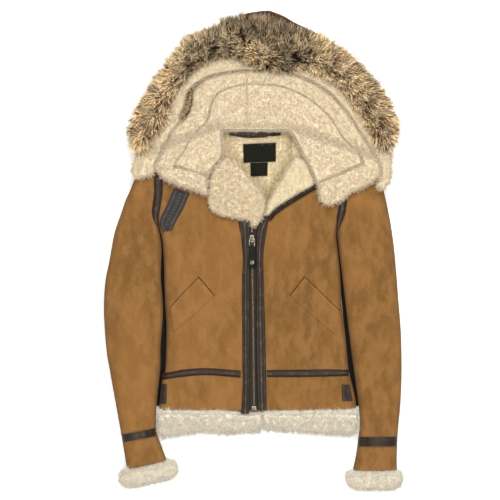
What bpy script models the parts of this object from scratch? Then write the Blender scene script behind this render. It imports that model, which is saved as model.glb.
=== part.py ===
"""A hooded sheepskin flying jacket, laid flat on its back with its front up and its hood spread out.

The floor is z = 0, +X is to the right of the jacket as it is looked down on, and +Y is towards the
hood. Left and right in the names are the wearer's. Tables are in millimetres and the model is in
metres. Each cut piece is a slab of sheepskin: a row of sections runs from its edge A to its edge B,
and each section is closed by the height of its upper and its lower face.
"""

import math

import bmesh
import bpy
import numpy as np
from mathutils import Matrix, Vector

MM = 0.001

# Heights above the floor, where the layers of the laid out jacket lie on each other
SEAM = 0.4                 # free space at a seam or between two layers
BACK_TOP = 14.0            # wool side of the back panel
FRONT_LOW = BACK_TOP + SEAM
FRONT_EDGE = 29.0          # suede side of the fronts near the side seams
FRONT_CROWN = 3.4          # how much higher the middle of the chest is
SEAM_VALLEY = 31.2         # lowest that a strap dips into the armhole seam
SLEEVE_PARTING = 17.5      # wool side of the under sleeve
HOOD_TOP = 10.0            # wool side of the hood's back
COLLAR_ON_FRONT = 33.8     # underside of the collar where it lies on the fronts
COLLAR_ON_HOOD = HOOD_TOP + 0.6
LOBE_ON_SLEEVE = 31.0      # underside of the hood's front corners, on the sleeve heads
COLLAR_PILE = 17.0
RUFF_PILE = 46.0
HEM_PILE = 19.0
CUFF_TOP = 38.0
LEATHER = 2.2
WELT = 2.8
LABEL = 1.0

# Shape of the edges
THINNEST = 0.10            # part of the full height that is left at a rounded edge
SIDE_ROUND = 15.0          # radius of the side seam, the sleeve's fold and so on
CUT_ROUND = 3.5

# Shoulder line: highest at the neck, and falling to the shoulder point
NECK_HALF_WIDTH = 76.0
SHOULDER_Y = 236.0
SHOULDER_FALL = 0.346
SHOULDER_RAMP = (8.0, 30.0)

# Where the rounded side seam gives way to the cut edge of the armhole, going up
ARMHOLE_START = 30.0
ARMHOLE_BLEND = 30.0
BACK_YOKE_Y = 160.0

# Where the hood's facing climbs from the sleeve heads down to the hood
FACING_RAMP_Y = 190.0
FACING_RAMP = 26.0

# Zip
TAPE_TOP = 29.0
TAPE = 2.4
CHAIN = 3.0
ZIP_X = -2.5
HINGE_Y = 24.0
HINGE_Z = 37.8
LINK_LENGTH = 15.0
LINK_HALF_WIDTH = 5.3
LINK_WIRE = 0.8
TAB_END_Y = -37.5
EYELET_Y = -25.5


# Tables of sections: the ends of each section on edge A and on edge B, as seen from above
FRONT_RIGHT = """
    ax     ay     bx    by
  -197   -336    -10  -336
  -197   -315    -10  -315
  -191   -273    -10  -273
  -185   -254    -10  -254
  -182   -168    -10  -168
  -185   -111    -10  -111
  -186.5  -67    -10   -67
  -188    -16    -10   -16
  -191.5   21    -10    24
  -198     48     -7    48
  -204     75      8    74
  -202    100     17    93
  -198.5  122     12   114
  -199    150     -7   143
  -205    172    -36   175
  -212    189    -76   236
"""

FRONT_LEFT = """
    ax     ay     bx    by
    11   -336    217  -334
    11   -315    215  -312
    11   -273    206  -273
    11   -254    201  -254
    11   -186    194.5 -186
    11   -113    186  -113
    11    -54    183   -54
    11    -14    179.5 -14
    13     35    175    35
    19     66    183    68
    29     88    187    90
    42    110    190   110
    59    139    194   135
    77    170    203   165
    84    236    214   189
"""

BACK = """
    ax     ay     bx    by
  -197   -336    217  -336
  -197   -315    215  -315
  -191   -273    206  -273
  -185   -254    201  -254
  -182   -168    192  -168
  -186    -80    184   -80
  -188    -16    179.5 -16
  -193     30    175    30
  -204     75    184    72
  -199    115    190   112
  -198    148    195   142
  -203    168    201   163
  -210    188    212   187
  -144    208    150   208
   -80    232     86   232
   -66    250     76   250
"""

# Columns ra and rb are the radii of the two edges, and top is the height of the upper face.
SLEEVE_RIGHT = """
    ax     ay     bx     by    ra  rb  top
  -237    181   -213.5  186    10   4   24
  -244    166   -206.8  171    14   4   28
  -250    147   -200.8  150    18   4   31
  -260    122   -200    122    22   4   33
  -268    105   -203.3  100    24   4   34
  -277     78   -205.4   75    26   4   35
  -287     50   -199.6   48    26   8   36
  -293     28   -194.5   24    26  14   36
  -298      0   -192.5   -2    26  18   36
  -303    -28   -193.5  -28    28  22   36
  -310    -62   -194    -60    28  24   35
  -313   -100   -191    -95    28  24   34
  -313   -142   -189.5 -136    28  24   35
  -308   -210   -194.5 -203    28  24   36
  -301   -252   -195   -245    28  24   36
  -288   -325   -202   -318    27  22   36
  -277   -386   -203.5 -375    25  20   35
  -270   -428   -192   -412    24  18   35
  -265   -461   -181   -441    24  18   35
"""

SLEEVE_LEFT = """
    ax     ay     bx     by    ra  rb  top
   215.4  187    232    182     4  10   24
   204.6  165    253    170     4  14   28
   195.6  135    267    146     4  18   31
   191.5  110    275    122     4  22   33
   188.5   90    281     97     4  24   34
   184.5   68    286     72     4  26   35
   177     40    291     43     8  26   36
   180      7    296      5    14  26   36
   186    -44    301    -48    20  28   36
   191    -86    304    -90    24  28   35
   199   -153    309   -150    24  28   34
   203   -186    311   -186    24  28   35
   212   -254    312   -254    24  28   36
   221   -320    309.5 -322    22  27   36
   224   -357    306   -359    20  25   36
   222   -386    303.5 -390    19  24   35
   216   -430    302   -430    18  24   35
   209   -463    302   -463    18  24   35
"""

CUFF_RIGHT = """
    ax     ay     bx     by
  -272   -463.5 -175   -441.5
  -279   -470   -163   -447
  -280   -480   -158   -460
  -275   -492   -164   -473
  -262   -500   -180   -482
"""

CUFF_LEFT = """
    ax     ay     bx     by
   210   -463.7  303   -463.7
   198   -470    311   -470
   195   -482    312.5 -482
   201   -494    309   -493
   216   -503    296   -503
"""

HEM_RIGHT = """
    ax     ay     bx     by
  -198.5 -376   -198.5 -342
  -191   -391   -191   -337
  -158   -388   -158   -337
  -109   -381   -109   -337
   -61   -385    -61   -337
   -17   -382    -17   -344
     5   -382      5   -344
    19   -374     19   -340
"""

HEM_LEFT = """
    ax     ay     bx     by
    22   -372     22   -338
    32   -377     32   -337
    60   -379     60   -337
   105   -382    105   -337
   172   -387    172   -336.5
   209   -386    209   -336
   219   -376    218   -342
"""

HEM_BACK = """
    ax     ay     bx     by
  -200   -376   -200   -342
  -190   -388   -190   -337
  -120   -380   -120   -337
   -20   -379    -20   -337
    60   -377     60   -337
   160   -383    160   -337
   208   -383    208   -337
   217   -374    217   -342
"""

COLLAR_BORDER_RIGHT = """
    ax     ay     bx     by
   -96    115    -98    154
  -123    126   -118    162
  -158    136   -140    168
  -190    153   -160    172
  -202    167   -167    175
  -203    181   -162    187
  -184    213   -147    205
  -172    246   -134    229
  -149    273   -117    251
  -131    299    -99    272
  -125    332    -91    299
  -101    358    -83    322
   -67    369    -58    339
   -14    375    -14    350
"""

COLLAR_FIELD_RIGHT = """
    ax     ay     bx     by
  -162    178.5  -97.5  157
  -156.5  190    -88    172
  -145    206    -68    197
  -132    230    -66    222
  -115    252    -68    243
   -94    273    -68    252
   -87    300    -58    253.5
   -79    321    -46    253.5
   -57.5  337.5  -32    253.5
   -14    348.5  -14    253.5
"""

COLLAR_BORDER_LEFT = """
    ax     ay     bx     by
   142    101    136    139
   159     95    151    145.5
   182    103    172    154
   203    119    190    161
   222    129    205    168
   250    143    222    175
   265    162    232    181
   256    197    223    206
   220    252    191    234
   196    289    169    271
   160    328    137    304
   121    354    104    326
    74    371     65    343
    35    375     31    348
   -12.5  375    -12.5  350
"""

COLLAR_FIELD_LEFT = """
    ax     ay     bx     by
   134    141    227    183
   126    162    223.5  194
   113    188    217    208
   100    214    189    235
    87    240    167.5  270
    79    251    136    302.5
    66    253.5  103.5  324.5
    48    253.5   64.5  341.5
    28    253.5   31    346.5
   -12.5  253.5  -12.5  348.5
"""

LAPEL_RIGHT = """
    ax     ay     bx     by
    -3     49      7     50
   -11     63     16     65
   -55     71     23     81
   -84     82     25     93
   -93    101     22    112
   -91    126     10    131
   -90    147     -4    147
   -82    170    -30    177
   -70    186    -53    194
"""

LAPEL_LEFT = """
    ax     ay     bx     by
    28     73     32     73.5
    29     87     42     85.5
    34    103     65    102
    46    125     96    121
    60.5  149    126    139
    75    173    120    163
    89    196    107    189
"""

LAPEL_LEFT_EDGE = """
    ax     ay     bx     by
    34     72.5   37.5   67
    43.5   84     47     78
    66    100     69.5   94
    97    119.5  100.5  113
   127    137    130    131
"""

HOOD_RIGHT = """
    ax     ay     bx     by
  -242    206   -256    256
  -228    199   -250    290
  -205    196   -215    345
  -170    208   -170    405
  -130    221   -128    446
   -90    237    -80    465
   -64    254    -45    486
   -30    254    -15    498
    18    254     18    503.5
"""

HOOD_LEFT = """
    ax     ay     bx     by
    36    254     36    504
    60    254     64    493
    80    253     86    480
   100    236    114    466
   130    221    150    448
   170    208    200    414
   205    196    240    375
   232    195    275    330
   250    198    294    285
   262    204    298    254
"""

HOOD_CROWN_STRIP = """
    ax     ay     bx     by
    19    254     35    254
    19    380     35    380
    19    504     35    504.5
"""

RUFF = """
    ax     ay     bx     by
  -247    211   -239    219
  -264    252   -212    247
  -261    280   -187    275
  -238    322   -179    306
  -201    370   -166    336
  -170    411   -145    362
  -135    449   -119    386
   -88    470    -86    405
   -40    496    -49    409
     0    500      0    392
    38    498     32    382
    74    482     66    379
   107    471     95    384
   150    452    122    381
   204    418    160    362
   249    375    195    333
   290    321    224    297
   306    275    244    262
   304    242    259    240
   290    229    270    231
"""

HOOD_FACING_RIGHT = """
    ax     ay     bx     by
  -244    149   -211    158
  -254    166   -205.5  170
  -249    188   -205.5  184
  -238    211   -194    201
  -221    234   -182.5  222
  -208    247   -174.5  246
  -185    272   -152    275
  -176.5  306   -144    301
  -163.5  335   -137    336
  -142.5  360   -103    361
  -117.5  384    -68    371.5
   -84    402    -40    376
   -50    406    -14    378
   -24    395      6    378.5
"""

HOOD_FACING_LEFT = """
    ax     ay     bx     by
   257    132    273    126
   264    145    287    144
   269    163    290    168
   263    190    289    196
   251    209    283    224
   237    231    262    231
   223    253    246    249
   198.5  290    222    294
   162.5  330    192.5  331
   123    356    157    359
    93    367.5  121    377.5
    77    373.5   94    380
"""

ZIP_FACING_RIGHT = """
    ax     ay     bx     by
   -29     47    -11     46
   -26     36     -8.5   36
   -24     17     -7.5   10
   -21.5  -20     -7.5  -20
   -23    -73     -7.5  -73
   -22.5 -230     -7.5 -230
   -22   -284     -7.5 -284
   -25   -343     -8.5 -343
"""

ZIP_FACING_LEFT = """
    ax     ay     bx     by
    24     69     33     66
    14     54     30     50
     8.5   42     26.5   29
     6.5   10     21.5  -10
     6.5  -73     22.5  -73
     6.5 -200     26   -200
     8.5 -290     27.5 -290
    10   -335     28.5 -335
"""

ZIP_TAPE = """
    ax     ay     bx     by
    -6.2   40     10.4   40
    -9      8     10.4    8
    -9.4 -334     10.4 -334
"""

ZIP_CHAIN = """
    ax     ay     bx     by
    -5.2   14      0.2   14
    -2   -200      3.4 -200
    -0.7 -326      4.7 -326
"""

WAIST_RIGHT = """
    ax     ay     bx     by
  -175   -269.5 -175   -256
  -146   -265.5 -146   -250.5
   -97   -262    -97   -247.5
   -26   -267.5  -26   -252.5
"""

WAIST_LEFT = """
    ax     ay     bx     by
    29.5 -266     29   -251.5
   105   -266    105   -250.5
   160   -265    160   -250
   194   -264    193   -251
"""

ARMHOLE_RIGHT = """
    ax     ay     bx     by
  -209    149   -190.5  132
  -207.5  122   -190    122
  -210    100   -193    100
  -212     76   -197     75
  -205     55   -200     56
"""

ARMHOLE_LEFT = """
    ax     ay     bx     by
   181    108    197    108
   179.5   90    195.5   90
   175.5   68    191     69
   176     45    179     45
"""

CUFF_STRIP_RIGHT = """
    ax     ay     bx     by
  -276.4 -387   -206   -373.5
  -273.6 -402.5 -204   -389.5
"""

CUFF_STRIP_LEFT = """
    ax     ay     bx     by
   221   -391.5  302.8 -391.5
   219   -411    301.8 -411
"""

SIDE_STRIP_RIGHT = """
    ax     ay     bx     by
  -201     30   -188     30
  -198.6   -5   -182.7   -5
  -200    -50   -181    -50
  -196.8 -100   -179.5 -100
  -195.5 -136   -177.5 -136
  -200.5 -203   -177.3 -203
  -201.5 -254   -179   -254
  -206.5 -300   -189   -300
  -208.3 -328   -191   -328
"""

SIDE_STRIP_LEFT = """
    ax     ay     bx     by
   171     34    182.5   34
   173     -5    187     -5
   176.8  -50    193    -50
   179.5 -100    198.5 -100
   184.5 -153    205   -153
   190   -203    211.3 -203
   195   -254    218   -254
   206   -300    224   -300
   210   -328    227   -328
"""

SIDE_TAB_RIGHT = """
    ax     ay     bx     by
  -189   -283   -181   -283
  -192   -320   -182   -320
"""

SIDE_TAB_LEFT = """
    ax     ay     bx     by
   186   -282    202   -282
   187   -316    209   -316
"""

COLLAR_STRAP = """
    ax     ay     bx     by
  -166    130   -133    119
  -181     94   -147     86
  -196     60   -163     58
  -187.5   39   -170     42
"""

POCKET_RIGHT = """
    ax     ay     bx     by
   -81    -95   -114    -57
  -128   -140   -148    -92
  -168   -171   -173   -121
"""

POCKET_LEFT = """
    ax     ay     bx     by
    77    -95    108    -56
   127   -140    143    -90
   174   -179    182   -128
"""

HANGER_LOOP = """
    ax     ay     bx     by
   -49.5  241    -49.5  247
   -15    236    -15    247
    14    236     14    247
    28    237.5   28    246.5
    34    240     34    245.5
    58    240.5   58    247
"""

NECK_LABEL = """
    ax     ay     bx     by
   -20    186    -21    223
    48    189     48    226
"""

SIZE_LABEL = """
    ax     ay     bx     by
    -4    155     -5    184
    30    156     31    185
"""

# Largest folds, as soft troughs in the suede from one end to the other
FRONT_FOLDS = """
    x0    y0    x1    y1  width depth
  -186  -205   -60  -232    12   1.6
  -180    -8  -110    40    15   1.8
    40   -40    92    62    16   1.8
   186  -215    75  -238    12   1.8
   174    10   120    66    14   1.7
    60  -300    96  -335    13   1.5
"""

SLEEVE_FOLDS = """
    x0    y0    x1    y1  width depth
  -284   108  -207    52    10   3.4
  -192   -30  -262   -62    12   3.0
  -190  -150  -272  -128    13   3.2
  -306  -190  -236  -236    13   2.6
  -203  -330  -262  -300    12   2.4
   276   104   200    70    10   2.8
   186   -62   262   -30    12   3.0
   200  -160   284  -132    13   3.2
   311  -210   244  -250    13   2.6
   222  -352   276  -318    12   2.4
"""


def table(text):
    """The named columns of a table, as arrays."""
    names, *rows = [line.split() for line in text.strip().splitlines()]
    return dict(zip(names, np.array(rows, float).T))


def smooth_columns(columns, places):
    """Each column read at places between 0 and the last row, on cubic curves through the rows."""
    count = len(next(iter(columns.values())))
    row = np.clip(places.astype(int), 0, count - 2)
    t = places - row
    smooth = {}
    for name, value in columns.items():
        slope = np.gradient(value)
        slope[0], slope[-1] = value[1] - value[0], value[-1] - value[-2]
        smooth[name] = (
            (2 * t**3 - 3 * t**2 + 1) * value[row] + (t**3 - 2 * t**2 + t) * slope[row]
            + (3 * t**2 - 2 * t**3) * value[row + 1] + (t**3 - t**2) * slope[row + 1]
        )
    return smooth


def sections(text, count, ends=(0.0, 0.0)):
    """Sections spread evenly along the piece, with three more close to an end that is rounded."""
    columns = table(text)
    middle_x = (columns["ax"] + columns["bx"]) / 2
    middle_y = (columns["ay"] + columns["by"]) / 2
    run = np.concatenate([[0.0], np.cumsum(np.hypot(np.diff(middle_x), np.diff(middle_y)))])
    first, last = ends
    near = np.array([0.0, 0.12, 0.4])
    along = np.linspace(first, run[-1] - last, count)
    if first:
        along = np.concatenate([near * first, along])
    if last:
        along = np.concatenate([along, run[-1] - near[::-1] * last])
    made = smooth_columns(columns, np.interp(along, run, np.arange(len(run))))
    made["along"], made["length"] = along, run[-1]
    return made


def rounded(distance, radius):
    """From nothing at an edge to one at the radius from it, on a quarter circle."""
    if np.ndim(radius) == 0 and radius <= 0:
        return np.ones_like(distance)
    inside = np.clip(distance / np.maximum(radius, 1e-6), 0, 1)
    return THINNEST + (1 - THINNEST) * np.sqrt(1 - (1 - inside) ** 2)


def eased(t):
    t = np.clip(t, 0, 1)
    return t * t * (3 - 2 * t)


def trough(folds, x, y):
    """How much lower the suede lies at x, y: each fold is a soft trough that fades at its ends."""
    depth = np.zeros(np.broadcast(x, y).shape)
    for x0, y0, x1, y1, width, deep in zip(*table(folds).values()):
        run = math.hypot(x1 - x0, y1 - y0)
        along = ((x - x0) * (x1 - x0) + (y - y0) * (y1 - y0)) / run**2
        aside = ((x - x0) * (y1 - y0) - (y - y0) * (x1 - x0)) / run
        depth = depth + deep * np.exp(-((aside / width) ** 2)) * np.exp(-((2 * along - 1) ** 4))
    return depth


def edge_at(text, side):
    """The x of a piece's edge A or B at a given y, as a function."""
    dense = sections(text, 120)
    order = np.argsort(dense[side + "y"])
    return lambda y: np.interp(y, dense[side + "y"][order], dense[side + "x"][order])


BODY_A, BODY_B = edge_at(FRONT_RIGHT, "a"), edge_at(FRONT_LEFT, "b")


def front_top(x, y):
    """Suede side of the fronts: a low crown across the chest, rounded off at the side seams."""
    left, right = BODY_A(y), BODY_B(y)
    across = np.clip((x - left) / (right - left), 0, 1)
    top = FRONT_EDGE + FRONT_CROWN * 4 * across * (1 - across) - trough(FRONT_FOLDS, x, y)
    armhole = eased((y - ARMHOLE_START) / ARMHOLE_BLEND)
    radius = SIDE_ROUND + (CUT_ROUND - SIDE_ROUND) * armhole
    round_off = rounded(np.minimum(x - left, right - x), radius)
    return FRONT_LOW + (top - FRONT_LOW) * round_off


def back_low(x, y):
    """Suede side of the back panel, on the floor but for its rounded sides."""
    inside = np.minimum(x - BODY_A(y), BODY_B(y) - x)
    radius = np.where(y > BACK_YOKE_Y, CUT_ROUND, SIDE_ROUND)
    return BACK_TOP * (1 - rounded(inside, radius))


def sleeve_faces(text):
    """Functions for the upper face and for the lower face of a sleeve."""
    dense = sections(text, 120)
    order = np.argsort(dense["ay"])
    by_y = {name: dense[name][order] for name in ("ax", "ay", "ra", "rb", "top")}
    inner = np.argsort(dense["by"])
    by_y["bx"], by_y["by"] = dense["bx"][inner], dense["by"][inner]

    def fullness(x, y):
        from_a = x - np.interp(y, by_y["ay"], by_y["ax"])
        from_b = np.interp(y, by_y["by"], by_y["bx"]) - x
        ra, rb = (np.interp(y, by_y["ay"], by_y[name]) for name in ("ra", "rb"))
        return rounded(from_a, ra) * rounded(from_b, rb)

    def upper(x, y):
        top = np.interp(y, by_y["ay"], by_y["top"]) - trough(SLEEVE_FOLDS, x, y)
        low = SLEEVE_PARTING + SEAM
        return low + (top - low) * fullness(x, y)

    def lower(x, y):
        return SLEEVE_PARTING * (1 - fullness(x, y))

    return upper, lower


def shoulder_line(x):
    return SHOULDER_Y - np.maximum(np.abs(x) - NECK_HALF_WIDTH, 0) * SHOULDER_FALL


def collar_low(x, y):
    """Underside of the collar: on the fronts below the shoulder line, on the hood above it."""
    start, end = SHOULDER_RAMP
    down = eased((y - shoulder_line(x) - start) / (end - start))
    return COLLAR_ON_FRONT + (COLLAR_ON_HOOD - COLLAR_ON_FRONT) * down


def facing_low(x, y):
    """Underside of the hood's facing: on the sleeve heads at its corners, then on the hood."""
    down = eased((y - FACING_RAMP_Y) / FACING_RAMP)
    return LOBE_ON_SLEEVE + (COLLAR_ON_HOOD - LOBE_ON_SLEEVE) * down


def level(height):
    return lambda x, y: np.full(np.broadcast(x, y).shape, float(height))


def lifted(face, height):
    return lambda x, y: face(x, y) + height


def spread(edge_a, edge_b, middle):
    """Places across a section, closer together over the part that each edge's rounding takes."""
    near = np.array([0.0, 0.12, 0.45])
    inner = np.linspace(edge_a, 1 - edge_b, middle + 2)
    return np.concatenate([near * edge_a, inner, 1 - near[::-1] * edge_b])


FLAT = np.array([0.0, 1.0])
HALVES = np.array([0.0, 0.5, 1.0])
STRIP = np.array([0.0, 0.05, 0.18, 0.82, 0.95, 1.0])
SLEEVE_PLACES = spread(0.22, 0.22, 2)


def new_mesh_object(name, mesh, material):
    mesh.materials.append(material)
    mesh.shade_smooth()
    mesh.set_sharp_from_angle(angle=math.radians(40))
    thing = bpy.data.objects.new(name, mesh)
    JACKET.objects.link(thing)
    return thing


def loft(name, rings, material, inner=None):
    """Joins closed rings of points into one solid. With inner rings it is a tube open at both ends."""
    bm = bmesh.new()

    def skin(all_rings, outward):
        loops = [[bm.verts.new(point) for point in ring] for ring in all_rings]
        for near, far in zip(loops, loops[1:]):
            for k in range(len(near)):
                following = (k + 1) % len(near)
                quad = [near[k], near[following], far[following], far[k]]
                bm.faces.new(quad if outward else quad[::-1])
        return loops

    outer = skin(rings * MM, True)
    if inner is None:
        bm.faces.new(outer[0][::-1])
        bm.faces.new(outer[-1])
    else:
        hollow = skin(inner * MM, False)
        for rim, bore, forward in ((outer[0], hollow[0], True), (outer[-1], hollow[-1], False)):
            for k in range(len(rim)):
                following = (k + 1) % len(rim)
                quad = [rim[following], rim[k], bore[k], bore[following]]
                bm.faces.new(quad if forward else quad[::-1])
    bmesh.ops.recalc_face_normals(bm, faces=bm.faces)
    mesh = bpy.data.meshes.new(name)
    bm.to_mesh(mesh)
    bm.free()
    return new_mesh_object(name, mesh, material)


def slab(name, text, low, high, material, count=10, over=STRIP, under=HALVES,
         edges=(0.0, 0.0), ends=(0.0, 0.0), belly=0.0):
    """A cut piece between two faces.

    low and high are heights as functions of x and y, and over and under are the places across a
    section where each is worked out. edges and ends are radii that round the piece off towards
    the height given by belly, which is 0 at its lower face and 1 at its upper face.
    """
    cut = sections(text, count, ends)
    wide = np.hypot(cut["bx"] - cut["ax"], cut["by"] - cut["ay"])[:, None]
    to_end = np.minimum(rounded(cut["along"], ends[0]),
                        rounded(cut["length"] - cut["along"], ends[1]))[:, None]

    def face(across, height, whole):
        x = cut["ax"][:, None] + across * (cut["bx"] - cut["ax"])[:, None]
        y = cut["ay"][:, None] + across * (cut["by"] - cut["ay"])[:, None]
        bottom, top = low(x, y), high(x, y)
        centre = bottom + belly * (top - bottom)
        full = rounded(across * wide, edges[0]) * rounded((1 - across) * wide, edges[1]) * to_end
        z = height(bottom, top)
        return np.stack([x, y, z if whole else centre + (z - centre) * full], axis=-1)

    above = face(over, lambda bottom, top: top, belly == 1)
    below = face(under, lambda bottom, top: bottom, belly == 0)
    return loft(name, np.concatenate([above, below[:, ::-1]], axis=1), material)


def make_material(name, colour, roughness, metallic=0.0):
    material = bpy.data.materials.new(name)
    material.use_nodes = True
    shader = material.node_tree.nodes["Principled BSDF"]
    shader.inputs["Base Color"].default_value = (*colour, 1)
    shader.inputs["Roughness"].default_value = roughness
    shader.inputs["Metallic"].default_value = metallic
    return material


def evaluated_mesh(thing):
    """The object's mesh as its curve or modifiers make it, in the world, with doubles merged."""
    bpy.context.view_layer.update()
    graph = bpy.context.evaluated_depsgraph_get()
    mesh = bpy.data.meshes.new_from_object(thing.evaluated_get(graph))
    mesh.transform(thing.matrix_world)
    bm = bmesh.new()
    bm.from_mesh(mesh)
    bmesh.ops.remove_doubles(bm, verts=bm.verts, dist=1e-6)
    bmesh.ops.recalc_face_normals(bm, faces=bm.faces)
    bm.to_mesh(mesh)
    bm.free()
    return mesh


def wire(name, points, radius, closed, material=None, collection=None):
    """A wire through the points, as a curve with a round bevel."""
    curve = bpy.data.curves.new(name, "CURVE")
    curve.dimensions = "3D"
    curve.bevel_depth = radius * MM
    curve.bevel_resolution = 2
    curve.use_fill_caps = not closed
    spline = curve.splines.new("POLY")
    spline.points.add(len(points) - 1)
    spline.points.foreach_set("co", [value for point in points for value in (*point, 1.0)])
    spline.use_cyclic_u = closed
    thing = bpy.data.objects.new(name, curve)
    (collection or JACKET).objects.link(thing)
    if material:
        curve.materials.append(material)
    return thing


def as_mesh(thing, material, collection):
    """Replaces a curve object by its closed mesh."""
    mesh = evaluated_mesh(thing)
    name = thing.name
    bpy.data.objects.remove(thing)
    made = bpy.data.objects.new(name, mesh)
    mesh.materials.clear()
    mesh.materials.append(material)
    collection.objects.link(made)
    return made


def joined_with(thing, helper):
    """Unites thing with a helper solid, which is then hidden."""
    union = thing.modifiers.new("Joined", "BOOLEAN")
    union.operation = "UNION"
    union.object = helper
    helper.hide_render = True
    helper.display_type = "WIRE"


def make_shell_pieces():
    """Back, fronts and sleeves. What is under lies on the floor, and what is on top lies on it."""
    slab("back", BACK, back_low, level(BACK_TOP), SUEDE, count=20, over=HALVES,
         under=spread(0.05, 0.05, 2), belly=1.0)
    for name, text, over in (
        ("front_right", FRONT_RIGHT, spread(0.09, 0.02, 5)),
        ("front_left", FRONT_LEFT, spread(0.02, 0.09, 5)),
    ):
        slab(name, text, level(FRONT_LOW), front_top, SUEDE, count=23, over=over)
    for side, text in (("right", SLEEVE_RIGHT), ("left", SLEEVE_LEFT)):
        upper, lower = sleeve_faces(text)
        slab(f"sleeve_{side}_top", text, level(SLEEVE_PARTING + SEAM), upper, SUEDE, count=27,
             over=SLEEVE_PLACES)
        slab(f"sleeve_{side}_under", text, lower, level(SLEEVE_PARTING), SUEDE, count=19,
             over=HALVES, under=spread(0.22, 0.22, 0), belly=1.0)


def make_wool_rolls():
    """The turned back wool at each wrist, closed flat like the sleeve, and along the hem."""
    places = spread(0.3, 0.3, 1)
    middle = CUFF_TOP / 2
    for side, text in (("right", CUFF_RIGHT), ("left", CUFF_LEFT)):
        slab(f"cuff_wool_{side}_under", text, level(0), level(middle), WOOL, count=3, over=HALVES,
             under=spread(0.2, 0.2, 1), edges=(24, 24), ends=(12, 20), belly=1.0)
        slab(f"cuff_wool_{side}_top", text, level(middle + SEAM), level(CUFF_TOP + SEAM), WOOL,
             count=3, over=spread(0.2, 0.2, 1), edges=(24, 24), ends=(12, 20))
    high = level(FRONT_LOW + HEM_PILE)
    for name, text in (("hem_wool_right", HEM_RIGHT), ("hem_wool_left", HEM_LEFT)):
        slab(name, text, level(FRONT_LOW), high, WOOL, count=9, over=places, edges=(16, 9),
             ends=(9, 9), belly=0.25)
    slab("hem_wool_back", HEM_BACK, level(0), level(BACK_TOP), WOOL, count=9, over=places,
         edges=(9, 5), ends=(9, 9), belly=0.6)


def make_collar():
    """Two halves that meet at the middle of the back, each a field with a border round it."""
    pile = lifted(collar_low, COLLAR_PILE)
    for side, field, border in (
        ("right", COLLAR_FIELD_RIGHT, COLLAR_BORDER_RIGHT),
        ("left", COLLAR_FIELD_LEFT, COLLAR_BORDER_LEFT),
    ):
        slab(f"collar_border_{side}", border, collar_low, pile, WOOL, count=16,
             over=spread(0.3, 0.12, 1), edges=(11, 4), ends=(8, 0), belly=0.35)
        slab(f"collar_field_{side}", field, collar_low, pile, WOOL, count=11,
             over=spread(0.06, 0.06, 2), under=np.linspace(0, 1, 5), edges=(5, 5), ends=(4, 0),
             belly=0.35)


def make_lapels():
    """The tops of the two front edges, turned back so that their wool shows."""
    low = level(FRONT_EDGE + FRONT_CROWN + 0.6)
    slab("lapel_right", LAPEL_RIGHT, low, lifted(low, 13.5), CURLY_WOOL, count=9,
         over=spread(0.16, 0.16, 2), edges=(12, 12), ends=(4, 6), belly=0.3)
    slab("lapel_left", LAPEL_LEFT, low, lifted(low, 12.5), WOOL, count=7,
         over=spread(0.2, 0.1, 1), edges=(10, 4), ends=(4, 6), belly=0.3)
    slab("lapel_left_edge", LAPEL_LEFT_EDGE, low, lifted(low, 5), LEATHER_TRIM, count=6,
         under=FLAT, edges=(1.5, 2))


def make_hood():
    """The hood's back lies on the floor, and its fur edged opening is spread out on top of it."""
    for name, text, ends in (("hood_right", HOOD_RIGHT, (5, 0)), ("hood_left", HOOD_LEFT, (0, 5))):
        slab(name, text, level(0), level(HOOD_TOP), SUEDE, count=10, over=spread(0.02, 0.03, 1),
             edges=(3, 6), ends=ends, belly=0.2)
    slab("hood_crown_strip", HOOD_CROWN_STRIP, level(0), level(HOOD_TOP + 0.2), LEATHER_TRIM,
         count=3, under=FLAT, edges=(2, 2), ends=(0, 5))
    slab("fur_ruff", RUFF, level(HOOD_TOP + SEAM), level(HOOD_TOP + SEAM + RUFF_PILE), FUR,
         count=26, over=spread(0.42, 0.34, 0), edges=(34, 26), ends=(16, 16), belly=0.2)
    pile = lifted(facing_low, COLLAR_PILE)
    for side, text in (("right", HOOD_FACING_RIGHT), ("left", HOOD_FACING_LEFT)):
        slab(f"hood_facing_{side}", text, facing_low, pile, WOOL, count=15,
             over=spread(0.28, 0.28, 0), edges=(9, 9), ends=(8, 8), belly=0.3)


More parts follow.
